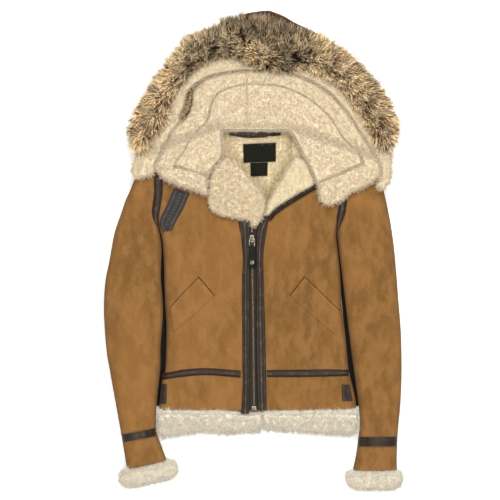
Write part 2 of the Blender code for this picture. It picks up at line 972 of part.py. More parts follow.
def make_leather_trims():
    """Straps and bindings that lie on the suede, made from the heights of the suede itself."""
    right_sleeve, left_sleeve = (sleeve_faces(text)[0] for text in (SLEEVE_RIGHT, SLEEVE_LEFT))

    def over_seam(sleeve):
        return lambda x, y: np.maximum(np.maximum(front_top(x, y), sleeve(x, y)), SEAM_VALLEY)

    even = np.linspace(0, 1, 5)
    for name, text, face, count, places, lift in (
        ("zip_facing_right", ZIP_FACING_RIGHT, front_top, 10, STRIP, 0.6),
        ("zip_facing_left", ZIP_FACING_LEFT, front_top, 10, STRIP, 0.6),
        ("waist_strip_right", WAIST_RIGHT, front_top, 12, STRIP, 0.9),
        ("waist_strip_left", WAIST_LEFT, front_top, 12, STRIP, 0.9),
        ("armhole_strip_right", ARMHOLE_RIGHT, over_seam(right_sleeve), 7, STRIP, 0.8),
        ("armhole_strip_left", ARMHOLE_LEFT, over_seam(left_sleeve), 6, STRIP, 1.2),
        ("side_tab_right", SIDE_TAB_RIGHT, front_top, 3, even, 1.2),
        ("side_tab_left", SIDE_TAB_LEFT, front_top, 3, even, 1.2),
        ("collar_strap", COLLAR_STRAP, front_top, 7, STRIP, 0.6),
        ("cuff_strip_right", CUFF_STRIP_RIGHT, right_sleeve, 3, SLEEVE_PLACES, 1.5),
        ("cuff_strip_left", CUFF_STRIP_LEFT, left_sleeve, 3, SLEEVE_PLACES, 1.0),
    ):
        rim = 1.5 if places is STRIP else 0
        slab(name, text, lifted(face, lift), lifted(face, lift + LEATHER), LEATHER_TRIM,
             count=count, over=places, under=places, edges=(rim, rim))
    for name, text in (("side_strip_right", SIDE_STRIP_RIGHT), ("side_strip_left", SIDE_STRIP_LEFT)):
        slab(name, text, level(0), level(LEATHER), LEATHER_TRIM, count=8, under=FLAT, edges=(1, 1))
    for name, text in (("pocket_welt_right", POCKET_RIGHT), ("pocket_welt_left", POCKET_LEFT)):
        slab(name, text, lifted(front_top, 0.8), lifted(front_top, 0.8 + WELT), SUEDE, count=8,
             edges=(1.5, 1.5), ends=(1.5, 0))


def make_neck_pieces():
    """What is sewn to the wool inside the back of the neck."""
    slab("hanger_loop", HANGER_LOOP, level(BACK_TOP + SEAM), level(BACK_TOP + SEAM + 2.5), BLACK,
         count=6, under=FLAT, edges=(1.5, 1.5))
    for name, text in (("neck_label", NECK_LABEL), ("size_label", SIZE_LABEL)):
        slab(name, text, level(BACK_TOP + SEAM), level(BACK_TOP + SEAM + LABEL), BLACK, count=2,
             over=FLAT, under=FLAT)


def make_zip():
    """The closed zip with its slider. The link and the leather tab turn about the slider's bridge."""
    on_tape = TAPE_TOP + SEAM
    slab("zip_tape", ZIP_TAPE, level(TAPE_TOP - TAPE), level(TAPE_TOP), BLACK, count=4, over=FLAT,
         under=FLAT)
    slab("zip_chain", ZIP_CHAIN, level(on_tape), level(on_tape + CHAIN), BRASS, count=5,
         under=FLAT, edges=(1, 1))

    def block(name, size, centre, material, bevel):
        bm = bmesh.new()
        bmesh.ops.create_cube(bm, size=1, matrix=Matrix.Diagonal((*[s * MM for s in size], 1)))
        mesh = bpy.data.meshes.new(name)
        bm.to_mesh(mesh)
        bm.free()
        made = new_mesh_object(name, mesh, material)
        made.location = Vector(centre) * MM
        softened = made.modifiers.new("Softened", "BEVEL")
        softened.width = bevel * MM
        softened.segments = 2
        return made

    slider_top = HINGE_Z - 2.4
    slider = block("zip_slider", (8.4, 15, slider_top - on_tape),
                   (ZIP_X, HINGE_Y, (slider_top + on_tape) / 2), BRASS, 1.2)
    turn = np.linspace(0, math.pi, 9)
    arch = [(ZIP_X * MM, (HINGE_Y + 5.2 * math.cos(a)) * MM,
             (slider_top - 0.8 + 6.2 * math.sin(a)) * MM) for a in turn]
    bridge = as_mesh(wire("slider_bridge", arch, 1.2, False, collection=HELPERS), BRASS, HELPERS)
    joined_with(slider, bridge)
    block("zip_box", (9, 7, 5), (2, -331, on_tape + 2.5), BRASS, 0.8)

    hinge = bpy.data.objects.new("pull_hinge", None)
    hinge.location = (ZIP_X * MM, HINGE_Y * MM, HINGE_Z * MM)
    JACKET.objects.link(hinge)
    corner, around = 1.6, []
    for x_sign, y_sign in ((1, 1), (-1, 1), (-1, -1), (1, -1)):
        start = math.atan2(y_sign, x_sign) - math.pi / 4
        centre_x = x_sign * (LINK_HALF_WIDTH - corner)
        centre_y = -LINK_LENGTH / 2 + y_sign * (LINK_LENGTH / 2 - corner)
        around += [((centre_x + corner * math.cos(start + a)) * MM,
                    (centre_y + corner * math.sin(start + a)) * MM, 0.0)
                   for a in np.linspace(0, math.pi / 2, 4)]
    link = wire("pull_link", around, LINK_WIRE, True, BRASS)
    link.parent = hinge
    make_pull_tab(hinge)


def make_pull_tab(hinge):
    """The leather tab: a strip that widens to a round end, rolled round the link at its top."""
    thick, low = 2.0, -2.1
    top_y, end_y = -LINK_LENGTH - 2.0, TAB_END_Y - HINGE_Y
    eyelet_y = EYELET_Y - HINGE_Y
    narrow, wide = 5.1, 8.6
    round_y = end_y + wide
    tip = [(wide * math.cos(a), round_y + wide * math.sin(a)) for a in
           np.linspace(0, -math.pi, 13)]
    outline = [(narrow, top_y), *tip, (-narrow, top_y)]
    bore = [(2.7 * math.cos(a), eyelet_y + 2.7 * math.sin(a))
            for a in np.linspace(0, 2 * math.pi, 14, endpoint=False)]
    curve = bpy.data.curves.new("pull_tab", "CURVE")
    curve.dimensions = "2D"
    curve.fill_mode = "BOTH"
    curve.extrude = thick / 2 * MM
    for points in (outline, bore):
        spline = curve.splines.new("POLY")
        spline.points.add(len(points) - 1)
        spline.points.foreach_set("co", [v for x, y in points for v in (x * MM, y * MM, 0.0, 1.0)])
        spline.use_cyclic_u = True
    flat = bpy.data.objects.new("pull_tab", curve)
    flat.location = (0, 0, (low + thick / 2) * MM)
    HELPERS.objects.link(flat)
    tab = as_mesh(flat, LEATHER_TRIM, JACKET)
    tab.parent = hinge

    turn = np.linspace(0, 2 * math.pi, 12, endpoint=False)

    def rings(radius):
        return np.stack([
            np.stack([np.full_like(turn, x), -LINK_LENGTH + radius * np.cos(turn),
                      radius * np.sin(turn)], axis=-1) for x in (-3.9, 3.9)])

    roll = loft("tab_roll", rings(2.35), LEATHER_TRIM, inner=rings(1.15))
    JACKET.objects.unlink(roll)
    HELPERS.objects.link(roll)
    roll.parent = hinge
    joined_with(tab, roll)

    over = low + thick
    profile = [(1.7, low), (1.7, over + 0.9), (4.2, over + 0.9), (4.2, over + 0.3),
               (2.4, over + 0.3), (2.4, low)]
    mesh = bpy.data.meshes.new("pull_eyelet")
    points = [(r * MM, 0, z * MM) for r, z in profile]
    mesh.from_pydata(points, [(k, (k + 1) % 6) for k in range(6)], [])
    eyelet = new_mesh_object("pull_eyelet", mesh, BRASS)
    eyelet.parent = hinge
    eyelet.location = (0, eyelet_y * MM, 0)
    turned = eyelet.modifiers.new("Turned", "SCREW")
    turned.steps = turned.render_steps = 16
    turned.use_merge_vertices = True
    turned.merge_threshold = 1e-6


for old in list(bpy.data.objects):
    bpy.data.objects.remove(old, do_unlink=True)
bpy.context.scene.unit_settings.system = "METRIC"

JACKET = bpy.data.collections.new("sheepskin_flying_jacket")
HELPERS = bpy.data.collections.new("helpers")
for group in (JACKET, HELPERS):
    bpy.context.scene.collection.children.link(group)
HELPERS.hide_render = True

SUEDE = make_material("suede", (0.36, 0.19, 0.08), 0.9)
WOOL = make_material("wool", (0.80, 0.68, 0.48), 0.95)
CURLY_WOOL = make_material("curly wool", (0.78, 0.63, 0.40), 0.95)
FUR = make_material("fur", (0.33, 0.24, 0.14), 0.9)
LEATHER_TRIM = make_material("leather trim", (0.05, 0.035, 0.03), 0.45)
BRASS = make_material("aged brass", (0.35, 0.27, 0.15), 0.4, 1.0)
BLACK = make_material("black cloth", (0.01, 0.01, 0.012), 0.8)

make_shell_pieces()
make_wool_rolls()
make_collar()
make_lapels()
make_hood()
make_leather_trims()
make_neck_pieces()
make_zip()
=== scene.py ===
"""Looks of the sheepskin flying jacket, laid flat on its back on a pale floor.

The floor is z = 0, +X is to the right of the jacket as it is looked down on and +Y is towards the
hood. Left and right in the names are the wearer's. Tables and helper functions are in millimetres
and the meshes in metres. Each cut piece is a slab of sheepskin between an upper and a lower face,
both worked out on a grid that runs from its edge A to its edge B and along its sections, and wool
and fur stand on those faces as separate fibres.
"""

import math

import bpy
import numpy as np
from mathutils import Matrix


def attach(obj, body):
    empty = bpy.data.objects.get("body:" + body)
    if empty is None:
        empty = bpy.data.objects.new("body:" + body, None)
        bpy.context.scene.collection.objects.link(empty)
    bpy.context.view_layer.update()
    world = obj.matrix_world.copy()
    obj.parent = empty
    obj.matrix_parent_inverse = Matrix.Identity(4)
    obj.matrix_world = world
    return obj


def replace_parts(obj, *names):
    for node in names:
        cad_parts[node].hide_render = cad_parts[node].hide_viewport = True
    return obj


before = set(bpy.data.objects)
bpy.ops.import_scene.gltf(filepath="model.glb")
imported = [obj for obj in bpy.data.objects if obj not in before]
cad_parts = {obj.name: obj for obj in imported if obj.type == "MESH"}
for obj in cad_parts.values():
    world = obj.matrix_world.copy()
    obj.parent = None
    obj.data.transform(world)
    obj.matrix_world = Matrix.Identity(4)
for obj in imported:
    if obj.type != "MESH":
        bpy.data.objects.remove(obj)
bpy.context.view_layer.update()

MM = 0.001

# Heights above the floor, where the layers of the laid out jacket lie on each other
SEAM = 0.4                 # free space at a seam or between two layers
BACK_TOP = 14.0            # wool side of the back panel
FRONT_LOW = BACK_TOP + SEAM
FRONT_EDGE = 29.0          # suede side of the fronts near the side seams
FRONT_CROWN = 3.4          # how much higher the middle of the chest is
SEAM_VALLEY = 31.2         # lowest that a strap dips into the armhole seam
SLEEVE_PARTING = 17.5      # wool side of the under sleeve
HOOD_TOP = 10.0            # wool side of the hood's back
COLLAR_ON_FRONT = 33.8     # underside of the collar where it lies on the fronts
COLLAR_ON_HOOD = HOOD_TOP + 0.6
LOBE_ON_SLEEVE = 31.0      # underside of the hood's front corners, on the sleeve heads
COLLAR_PILE = 17.0
RUFF_PILE = 46.0
HEM_PILE = 19.0
CUFF_TOP = 38.0
LABEL = 1.0

# Shape of the edges
THINNEST = 0.10            # part of the full height that is left at a rounded edge
SIDE_ROUND = 15.0          # radius of the side seam, the sleeve's fold and so on
CUT_ROUND = 3.5

# Shoulder line: highest at the neck, and falling to the shoulder point
NECK_HALF_WIDTH = 76.0
SHOULDER_Y = 236.0
SHOULDER_FALL = 0.346
SHOULDER_RAMP = (8.0, 30.0)

# Where the rounded side seam gives way to the cut edge of the armhole, going up
ARMHOLE_START = 30.0
ARMHOLE_BLEND = 30.0
BACK_YOKE_Y = 160.0

# Where the hood's facing climbs from the sleeve heads down to the hood
FACING_RAMP_Y = 190.0
FACING_RAMP = 26.0

# Zip
TAPE_TOP = 29.0
TAPE = 2.4
TOOTH_PITCH = 2.5          # from one tooth to the next on the same side

# Grids of random numbers
LATTICE = 64               # corners along each side of the noise's lattice
TUFT_CELLS = 97, 89        # cells before the tufts repeat


# Tables of sections: the ends of each section on edge A and on edge B, as seen from above
FRONT_RIGHT = """
    ax     ay     bx    by
  -197   -336    -10  -336
  -197   -315    -10  -315
  -191   -273    -10  -273
  -185   -254    -10  -254
  -182   -168    -10  -168
  -185   -111    -10  -111
  -186.5  -67    -10   -67
  -188    -16    -10   -16
  -191.5   21    -10    24
  -198     48     -7    48
  -204     75      8    74
  -202    100     17    93
  -198.5  122     12   114
  -199    150     -7   143
  -205    172    -36   175
  -212    189    -76   236
"""

FRONT_LEFT = """
    ax     ay     bx    by
    11   -336    217  -334
    11   -315    215  -312
    11   -273    206  -273
    11   -254    201  -254
    11   -186    194.5 -186
    11   -113    186  -113
    11    -54    183   -54
    11    -14    179.5 -14
    13     35    175    35
    19     66    183    68
    29     88    187    90
    42    110    190   110
    59    139    194   135
    77    170    203   165
    84    236    214   189
"""

BACK = """
    ax     ay     bx    by
  -197   -336    217  -336
  -197   -315    215  -315
  -191   -273    206  -273
  -185   -254    201  -254
  -182   -168    192  -168
  -186    -80    184   -80
  -188    -16    179.5 -16
  -193     30    175    30
  -204     75    184    72
  -199    115    190   112
  -198    148    195   142
  -203    168    201   163
  -210    188    212   187
  -144    208    150   208
   -80    232     96   232
   -66    250     80   250
"""

# Columns ra and rb are the radii of the two edges, and top is the height of the upper face.
SLEEVE_RIGHT = """
    ax     ay     bx     by    ra  rb  top
  -237    181   -213.5  186    10   4   24
  -244    166   -206.8  171    14   4   28
  -250    147   -200.8  150    18   4   31
  -260    122   -200    122    22   4   33
  -268    105   -203.3  100    24   4   34
  -277     78   -205.4   75    26   4   35
  -287     50   -199.6   48    26   8   36
  -293     28   -194.5   24    26  14   36
  -298      0   -192.5   -2    26  18   36
  -303    -28   -193.5  -28    28  22   36
  -310    -62   -194    -60    28  24   35
  -313   -100   -191    -95    28  24   34
  -313   -142   -189.5 -136    28  24   35
  -308   -210   -194.5 -203    28  24   36
  -301   -252   -195   -245    28  24   36
  -288   -325   -202   -318    27  22   36
  -277   -386   -203.5 -375    25  20   35
  -270   -428   -192   -412    24  18   35
  -265   -461   -181   -441    24  18   35
"""

SLEEVE_LEFT = """
    ax     ay     bx     by    ra  rb  top
   215.4  187    232    182     4  10   24
   204.6  165    253    170     4  14   28
   195.6  135    267    146     4  18   31
   191.5  110    275    122     4  22   33
   188.5   90    281     97     4  24   34
   184.5   68    286     72     4  26   35
   177     40    291     43     8  26   36
   180      7    296      5    14  26   36
   186    -44    301    -48    20  28   36
   191    -86    304    -90    24  28   35
   199   -153    309   -150    24  28   34
   203   -186    311   -186    24  28   35
   212   -254    312   -254    24  28   36
   221   -320    309.5 -322    22  27   36
   224   -357    306   -359    20  25   36
   222   -386    303.5 -390    19  24   35
   216   -430    302   -430    18  24   35
   209   -463    302   -463    18  24   35
"""

CUFF_RIGHT = """
    ax     ay     bx     by
  -272   -463.5 -175   -441.5
  -279   -470   -163   -447
  -280   -480   -158   -460
  -275   -492   -164   -473
  -262   -500   -180   -482
"""

CUFF_LEFT = """
    ax     ay     bx     by
   210   -463.7  303   -463.7
   198   -470    311   -470
   195   -482    312.5 -482
   201   -494    309   -493
   216   -503    296   -503
"""

HEM_RIGHT = """
    ax     ay     bx     by
  -198.5 -376   -198.5 -342
  -191   -391   -191   -337
  -158   -388   -158   -337
  -109   -381   -109   -337
   -61   -385    -61   -337
   -17   -382    -17   -344
     5   -382      5   -344
    19   -374     19   -340
"""

HEM_LEFT = """
    ax     ay     bx     by
    22   -372     22   -338
    32   -377     32   -337
    60   -379     60   -337
   105   -382    105   -337
   172   -387    172   -336.5
   209   -386    209   -336
   219   -376    218   -342
"""

HEM_BACK = """
    ax     ay     bx     by
  -200   -376   -200   -342
  -190   -388   -190   -337
  -120   -380   -120   -337
   -20   -379    -20   -337
    60   -377     60   -337
   160   -383    160   -337
   208   -383    208   -337
   217   -374    217   -342
"""

COLLAR_BORDER_RIGHT = """
    ax     ay     bx     by
   -96    115    -98    154
  -123    126   -118    162
  -158    136   -140    168
  -190    153   -160    172
  -202    167   -167    175
  -203    181   -162    187
  -184    213   -147    205
  -172    246   -134    229
  -149    273   -117    251
  -131    299    -99    272
  -125    332    -91    299
  -101    358    -83    322
   -67    369    -58    339
   -14    375    -14    350
"""

COLLAR_FIELD_RIGHT = """
    ax     ay     bx     by
  -162    178.5  -97.5  157
  -156.5  190    -88    172
  -145    206    -68    197
  -132    230    -66    222
  -115    252    -68    243
   -94    273    -68    252
   -87    300    -58    253.5
   -79    321    -46    253.5
   -57.5  337.5  -32    253.5
   -14    348.5  -14    253.5
"""

COLLAR_BORDER_LEFT = """
    ax     ay     bx     by
   142    101    136    139
   159     95    151    145.5
   182    103    172    154
   203    119    190    161
   222    129    205    168
   250    143    222    175
   265    162    232    181
   256    197    223    206
   220    252    191    234
   196    289    169    271
   160    328    137    304
   121    354    104    326
    74    371     65    343
    35    375     31    348
   -12.5  375    -12.5  350
"""

COLLAR_FIELD_LEFT = """
    ax     ay     bx     by
   134    141    227    183
   126    162    223.5  194
   113    188    217    208
   100    214    189    235
    87    240    167.5  270
    79    251    136    302.5
    66    253.5  103.5  324.5
    48    253.5   64.5  341.5
    28    253.5   31    346.5
   -12.5  253.5  -12.5  348.5
"""

LAPEL_RIGHT = """
    ax     ay     bx     by
    -3     49      7     50
   -11     63     16     65
   -55     71     23     81
   -84     82     25     93
   -93    101     22    112
   -91    126     10    131
   -90    147     -4    147
   -82    170    -30    177
   -70    186    -53    194
"""

LAPEL_LEFT = """
    ax     ay     bx     by
    28     73     32     73.5
    29     87     42     85.5
    34    103     65    102
    46    125     96    121
    60.5  149    126    139
    75    173    120    163
    89    196    107    189
"""

LAPEL_LEFT_EDGE = """
    ax     ay     bx     by
    30.5   69     35.5   61
    34     72.5   39.3   64.3
    43.5   84     48.8   75.3
    66    100     71.2   91.3
    97    119.5  102.2  110.3
   127    137    131.5  128
"""

HOOD_RIGHT = """
    ax     ay     bx     by
  -242    206   -256    256
  -228    199   -250    290
  -205    196   -215    345
  -170    208   -170    405
  -130    221   -128    446
   -90    237    -80    465
   -64    254    -45    486
   -30    254    -15    498
    18    254     18    503.5
"""

HOOD_LEFT = """
    ax     ay     bx     by
    36    254     36    504
    60    254     64    493
    80    253     86    480
   100    236    114    466
   130    221    150    448
   170    208    200    414
   205    196    240    375
   232    195    275    330
   250    198    294    285
   262    204    298    254
"""

HOOD_CROWN_STRIP = """
    ax     ay     bx     by
    17.5  254     36.8  254
    17.5  380     36.8  380
    17.5  504     36.8  504.5
"""

RUFF = """
    ax     ay     bx     by
  -247    211   -239    219
  -264    252   -212    247
  -261    280   -187    275
  -238    322   -179    306
  -201    370   -166    336
  -170    411   -145    362
  -135    449   -119    386
   -88    470    -86    405
   -40    496    -49    409
     0    500      0    392
    38    498     32    382
    74    482     66    379
   107    471     95    384
   150    452    122    381
   204    418    160    362
   249    375    195    333
   290    321    224    297
   306    275    244    262
   304    242    259    240
   290    229    270    231
"""

HOOD_FACING_RIGHT = """
    ax     ay     bx     by
  -244    149   -211    158
  -254    166   -205.5  170
  -249    188   -205.5  184
  -238    211   -194    201
  -221    234   -182.5  222
  -208    247   -174.5  246
  -185    272   -152    275
  -176.5  306   -144    301
  -163.5  335   -137    336
  -142.5  360   -103    361
  -117.5  384    -68    371.5
   -84    402    -40    376
   -50    406    -14    378
   -24    395      6    378.5
"""

HOOD_FACING_LEFT = """
    ax     ay     bx     by
   257    132    273    126
   264    145    287    144
   269    163    290    168
   263    190    289    196
   251    209    283    224
   237    231    262    231
   223    253    246    249
   198.5  290    222    294
   162.5  330    192.5  331
   123    356    157    359
    93    367.5  121    377.5
    77    373.5   94    380
"""

ZIP_FACING_RIGHT = """
    ax     ay     bx     by
   -31     68     -6     66
   -29     47     -6.5   46
   -26     36     -7     36
   -24     17     -7.5   10
   -21.5  -20     -7.5  -20
   -23    -73     -7.5  -73
   -22.5 -230     -7.5 -230
   -22   -284     -7.5 -284
   -25   -343     -8.5 -343
"""

ZIP_FACING_LEFT = """
    ax     ay     bx     by
    28     74     36.5   70.5
    24     69     33     66
    14     54     30     50
     8.5   42     26.5   29
     6.5   10     21.5  -10
     6.5  -73     22.5  -73
     6.5 -200     26   -200
     8.5 -290     27.5 -290
    10   -335     28.5 -335
"""

ZIP_TAPE = """
    ax     ay     bx     by
    -3     54      9     54
    -5     44     10     44
    -9      8     10.4    8
    -9.4 -334     10.4 -334
"""

ZIP_CHAIN = """
    ax     ay     bx     by
    -5.2   14      0.2   14
    -2   -200      3.4 -200
    -0.7 -326      4.7 -326
"""

WAIST_RIGHT = """
    ax     ay     bx     by
  -190   -271.5 -190   -258.5
  -175   -269.5 -175   -256
  -146   -265.5 -146   -250.5
   -97   -262    -97   -247.5
   -26   -267.5  -26   -252.5
"""

WAIST_LEFT = """
    ax     ay     bx     by
    29.5 -266     29   -251.5
   105   -266    105   -250.5
   160   -265    160   -250
   194   -264    193   -251
   201.5 -263.5  200   -250.5
"""

ARMHOLE_RIGHT = """
    ax     ay     bx     by
  -208.5  155   -189.5  147
  -207.5  122   -190    122
  -210    100   -193    100
  -212     76   -197     75
  -205     55   -200     56
"""

ARMHOLE_LEFT = """
    ax     ay     bx     by
   181    108    197    108
   179.5   90    195.5   90
   175.5   68    191     69
   176     45    179     45
"""

CUFF_STRIP_RIGHT = """
    ax     ay     bx     by
  -276.4 -387   -206   -373.5
  -273.6 -402.5 -204   -389.5
"""

CUFF_STRIP_LEFT = """
    ax     ay     bx     by
   221   -391.5  302.8 -391.5
   219   -411    301.8 -411
"""

SIDE_STRIP_RIGHT = """
    ax     ay     bx     by
  -201     30   -188     30
  -198.6   -5   -182.7   -5
  -200    -50   -181    -50
  -196.8 -100   -179.5 -100
  -195.5 -136   -177.5 -136
  -200.5 -203   -177.3 -203
  -201.5 -254   -179   -254
  -206.5 -300   -189   -300
  -208.3 -328   -191   -328
"""

SIDE_STRIP_LEFT = """
    ax     ay     bx     by
   171     34    182.5   34
   173     -5    187     -5
   176.8  -50    193    -50
   179.5 -100    198.5 -100
   184.5 -153    205   -153
   190   -203    211.3 -203
   195   -254    218   -254
   206   -300    224   -300
   210   -328    227   -328
"""

# Near-black sheets deep in the armhole seams: painted shade, seen only where the seams gape
GAP_SHADE_RIGHT = """
    ax     ay     bx    by
  -206     20   -190    20
  -206     48   -190    48
  -211     75   -199    75
  -209    100   -195   100
  -206    122   -192   122
  -207    150   -192   150
  -216    178   -204   178
"""

GAP_SHADE_LEFT = """
    ax     ay     bx    by
   169     24    186    24
   171     45    184    44
   178     68    192    68
   182     90    196    90
   185    110    199   110
   190    135    204   135
   196    165    212   165
"""

SIDE_TAB_RIGHT = """
    ax     ay     bx     by
  -193   -281   -181   -281
  -198   -322   -182   -322
"""

SIDE_TAB_LEFT = """
    ax     ay     bx     by
   186   -282    202   -282
   187   -316    209   -316
"""

COLLAR_STRAP = """
    ax     ay     bx     by
  -166    130   -133    119
  -181     94   -147     86
  -196     60   -163     58
  -187.5   39   -170     42
"""

POCKET_RIGHT = """
    ax     ay     bx     by
   -81    -95   -114    -57
  -128   -140   -148    -92
  -168   -171   -173   -121
"""

POCKET_LEFT = """
    ax     ay     bx     by
    77    -95    108    -56
   127   -140    143    -90
   174   -179    182   -128
"""

HANGER_LOOP = """
    ax     ay     bx     by
   -49.5  242    -49.5  248
   -38    239.5  -38    249
   -15    236    -15    248.5
    14    236     14    248
    28    237.5   28    247.5
    34    240     34    245.5
    40    239     40    247
    58    240.5   58    247
"""

NECK_LABEL = """
    ax     ay     bx     by
   -20    183.5  -21    223
    48    186     48    226
"""

SIZE_LABEL = """
    ax     ay     bx     by
    -5    155     -6    183
    30    156     31    184.5
"""

# The gap between the collar and the hood's facing: where it stands open, and its two closed
# lengths, along which short dark hairs are a painted shadow line
GAP_OPEN = """
     x      y
  -127    332
  -130    303
  -135    290
  -149    276
"""

GAP_RIGHT = """
     x      y
  -124    337
  -111    351
   -97    361.5
   -74    371
   -44    375.5
   -11    377.5
"""

GAP_LEFT = """
     x      y
    84    369
   131    347
   165    326
   186    303
   199    288
"""

# Largest folds, as soft troughs in the suede from one end to the other
FRONT_FOLDS = """
    x0    y0    x1    y1  width depth
  -186  -205   -60  -232    12   1.6
  -180    -8  -110    40    15   1.8
    40   -40    92    62    16   1.8
   186  -215    75  -238    12   1.8
   174    10   120    66    14   1.7
    60  -300    96  -335    13   1.5
"""

SLEEVE_FOLDS = """
    x0    y0    x1    y1  width depth
  -284   108  -207    52    10   3.4
  -192   -30  -262   -62    12   3.0
  -190  -150  -272  -128    13   3.2
  -306  -190  -236  -236    13   2.6
  -203  -330  -262  -300    12   2.4
   276   104   200    70    10   2.8
   186   -62   262   -30    12   3.0
   200  -160   284  -132    13   3.2
   311  -210   244  -250    13   2.6
   222  -352   276  -318    12   2.4
"""

# Slighter folds and dents, which the part's own solids leave out
SOFT_FOLDS = """
    x0    y0    x1    y1  width depth
  -139    28  -147   -54    12   2.6
   -44    32   -44  -168     8   1.5
  -111  -168   -38  -199    14   1.0
  -153  -214   -59  -235    10   0.9
   -92   100   -60    45    12   1.1
   126    59   132   -25     8   1.4
    63    53    71     0     6   1.0
    98    80    86    21     5   0.8
   150    85   146    20     6   0.9
   105   -31   161   -54    10   1.2
    63  -283    98  -304    12   1.3
    30   -60    52  -190    10   0.8
  -313  -105  -216   -88    12   1.0
  -296    21  -206     0    14   1.0
  -284  -250  -206  -240    10   0.9
  -272  -315  -206  -306     9   0.9
  -258  -410  -200  -425     9   1.0
   196    50   296    24    12   1.2
   203   -90   306  -118    14   1.0
   224  -290   308  -268    12   0.9
   230  -420   292  -440     9   1.0
"""

# Shallow hollows under the back and the sleeves, where they lie on the floor
BACK_FOLDS = """
    x0    y0    x1    y1  width depth
  -170  -150   -40  -190    14   1.2
   -60    60    90    20    18   1.0
   180   -60    60  -110    13   1.2
   -30  -280   120  -250    16   1.1
  -150   150   -70    90    14   1.0
  -300  -100  -215   -70    12   1.0
  -290  -240  -215  -260    11   0.9
   200   -90   295   -60    12   1.0
   220  -250   300  -275    11   0.9
"""


def table(text):
    """The named columns of a table, as arrays."""
    names, *rows = [line.split() for line in text.strip().splitlines()]
    return dict(zip(names, np.array(rows, float).T))


def smooth_columns(columns, places):
    """Each column read at places between 0 and the last row, on cubic curves through the rows."""
    count = len(next(iter(columns.values())))
    row = np.clip(places.astype(int), 0, count - 2)
    t = places - row
    smooth = {}
    for name, value in columns.items():
        slope = np.gradient(value)
        slope[0], slope[-1] = value[1] - value[0], value[-1] - value[-2]
        smooth[name] = (
            (2 * t**3 - 3 * t**2 + 1) * value[row] + (t**3 - 2 * t**2 + t) * slope[row]
            + (3 * t**2 - 2 * t**3) * value[row + 1] + (t**3 - t**2) * slope[row + 1]
        )
    return smooth


def sections(text, count, ends=(0.0, 0.0)):
    """Sections spread evenly along the piece, with three more close to an end that is rounded."""
    columns = table(text)
    middle_x = (columns["ax"] + columns["bx"]) / 2
    middle_y = (columns["ay"] + columns["by"]) / 2
    run = np.concatenate([[0.0], np.cumsum(np.hypot(np.diff(middle_x), np.diff(middle_y)))])
    first, last = ends
    near = np.array([0.0, 0.12, 0.4])
    along = np.linspace(first, run[-1] - last, count)
    if first:
        along = np.concatenate([near * first, along])
    if last:
        along = np.concatenate([along, run[-1] - near[::-1] * last])
    made = smooth_columns(columns, np.interp(along, run, np.arange(len(run))))
    made["along"], made["length"] = along, run[-1]
    return made


def rounded(distance, radius):
    """From nothing at an edge to one at the radius from it, on a quarter circle."""
    if np.ndim(radius) == 0 and radius <= 0:
        return np.ones_like(distance)
    inside = np.clip(distance / np.maximum(radius, 1e-6), 0, 1)
    return THINNEST + (1 - THINNEST) * np.sqrt(1 - (1 - inside) ** 2)


def eased(t):
    """From nought to one, level at both ends."""
    t = np.clip(t, 0, 1)
    return t * t * (3 - 2 * t)


def trough(folds, x, y):
    """How much lower the suede lies at x, y: each fold is a soft trough that fades at its ends."""
    depth = np.zeros(np.broadcast(x, y).shape)
    for x0, y0, x1, y1, width, deep in zip(*table(folds).values()):
        run = math.hypot(x1 - x0, y1 - y0)
        along = ((x - x0) * (x1 - x0) + (y - y0) * (y1 - y0)) / run**2
        aside = ((x - x0) * (y1 - y0) - (y - y0) * (x1 - x0)) / run
        depth = depth + deep * np.exp(-((aside / width) ** 2)) * np.exp(-((2 * along - 1) ** 4))
    return depth


def edge_at(text, side):
    """The x of a piece's edge A or B at a given y, as a function."""
    dense = sections(text, 120)
    order = np.argsort(dense[side + "y"])
    return lambda y: np.interp(y, dense[side + "y"][order], dense[side + "x"][order])


BODY_A, BODY_B = edge_at(FRONT_RIGHT, "a"), edge_at(FRONT_LEFT, "b")


def flat_front_top(x, y):
    """Suede side of the fronts: a low crown across the chest, rounded off at the side seams."""
    left, right = BODY_A(y), BODY_B(y)
    across = np.clip((x - left) / (right - left), 0, 1)
    top = FRONT_EDGE + FRONT_CROWN * 4 * across * (1 - across) - trough(FRONT_FOLDS, x, y)
    armhole = eased((y - ARMHOLE_START) / ARMHOLE_BLEND)
    radius = SIDE_ROUND + (CUT_ROUND - SIDE_ROUND) * armhole
    round_off = rounded(np.minimum(x - left, right - x), radius)
    return FRONT_LOW + (top - FRONT_LOW) * round_off


def back_low(x, y):
    """Suede side of the back panel, on the floor but for its rounded sides."""
    inside = np.minimum(x - BODY_A(y), BODY_B(y) - x)
    radius = np.where(y > BACK_YOKE_Y, CUT_ROUND, SIDE_ROUND)
    return BACK_TOP * (1 - rounded(inside, radius))


def sleeve_faces(text):
    """Functions for the upper face and for the lower face of a sleeve."""
    dense = sections(text, 120)
    order = np.argsort(dense["ay"])
    by_y = {name: dense[name][order] for name in ("ax", "ay", "ra", "rb", "top")}
    inner = np.argsort(dense["by"])
    by_y["bx"], by_y["by"] = dense["bx"][inner], dense["by"][inner]

    def fullness(x, y):
        from_a = x - np.interp(y, by_y["ay"], by_y["ax"])
        from_b = np.interp(y, by_y["by"], by_y["bx"]) - x
        ra, rb = (np.interp(y, by_y["ay"], by_y[name]) for name in ("ra", "rb"))
        return rounded(from_a, ra) * rounded(from_b, rb)

    def upper(x, y):
        top = np.interp(y, by_y["ay"], by_y["top"]) - trough(SLEEVE_FOLDS, x, y)
        low = SLEEVE_PARTING + SEAM
        return low + (top - low) * fullness(x, y)

    def lower(x, y):
        return SLEEVE_PARTING * (1 - fullness(x, y))

    return upper, lower


def shoulder_line(x):
    """The y of the shoulder seam at x: level over the neck, then falling to the shoulder point."""
    return SHOULDER_Y - np.maximum(np.abs(x) - NECK_HALF_WIDTH, 0) * SHOULDER_FALL


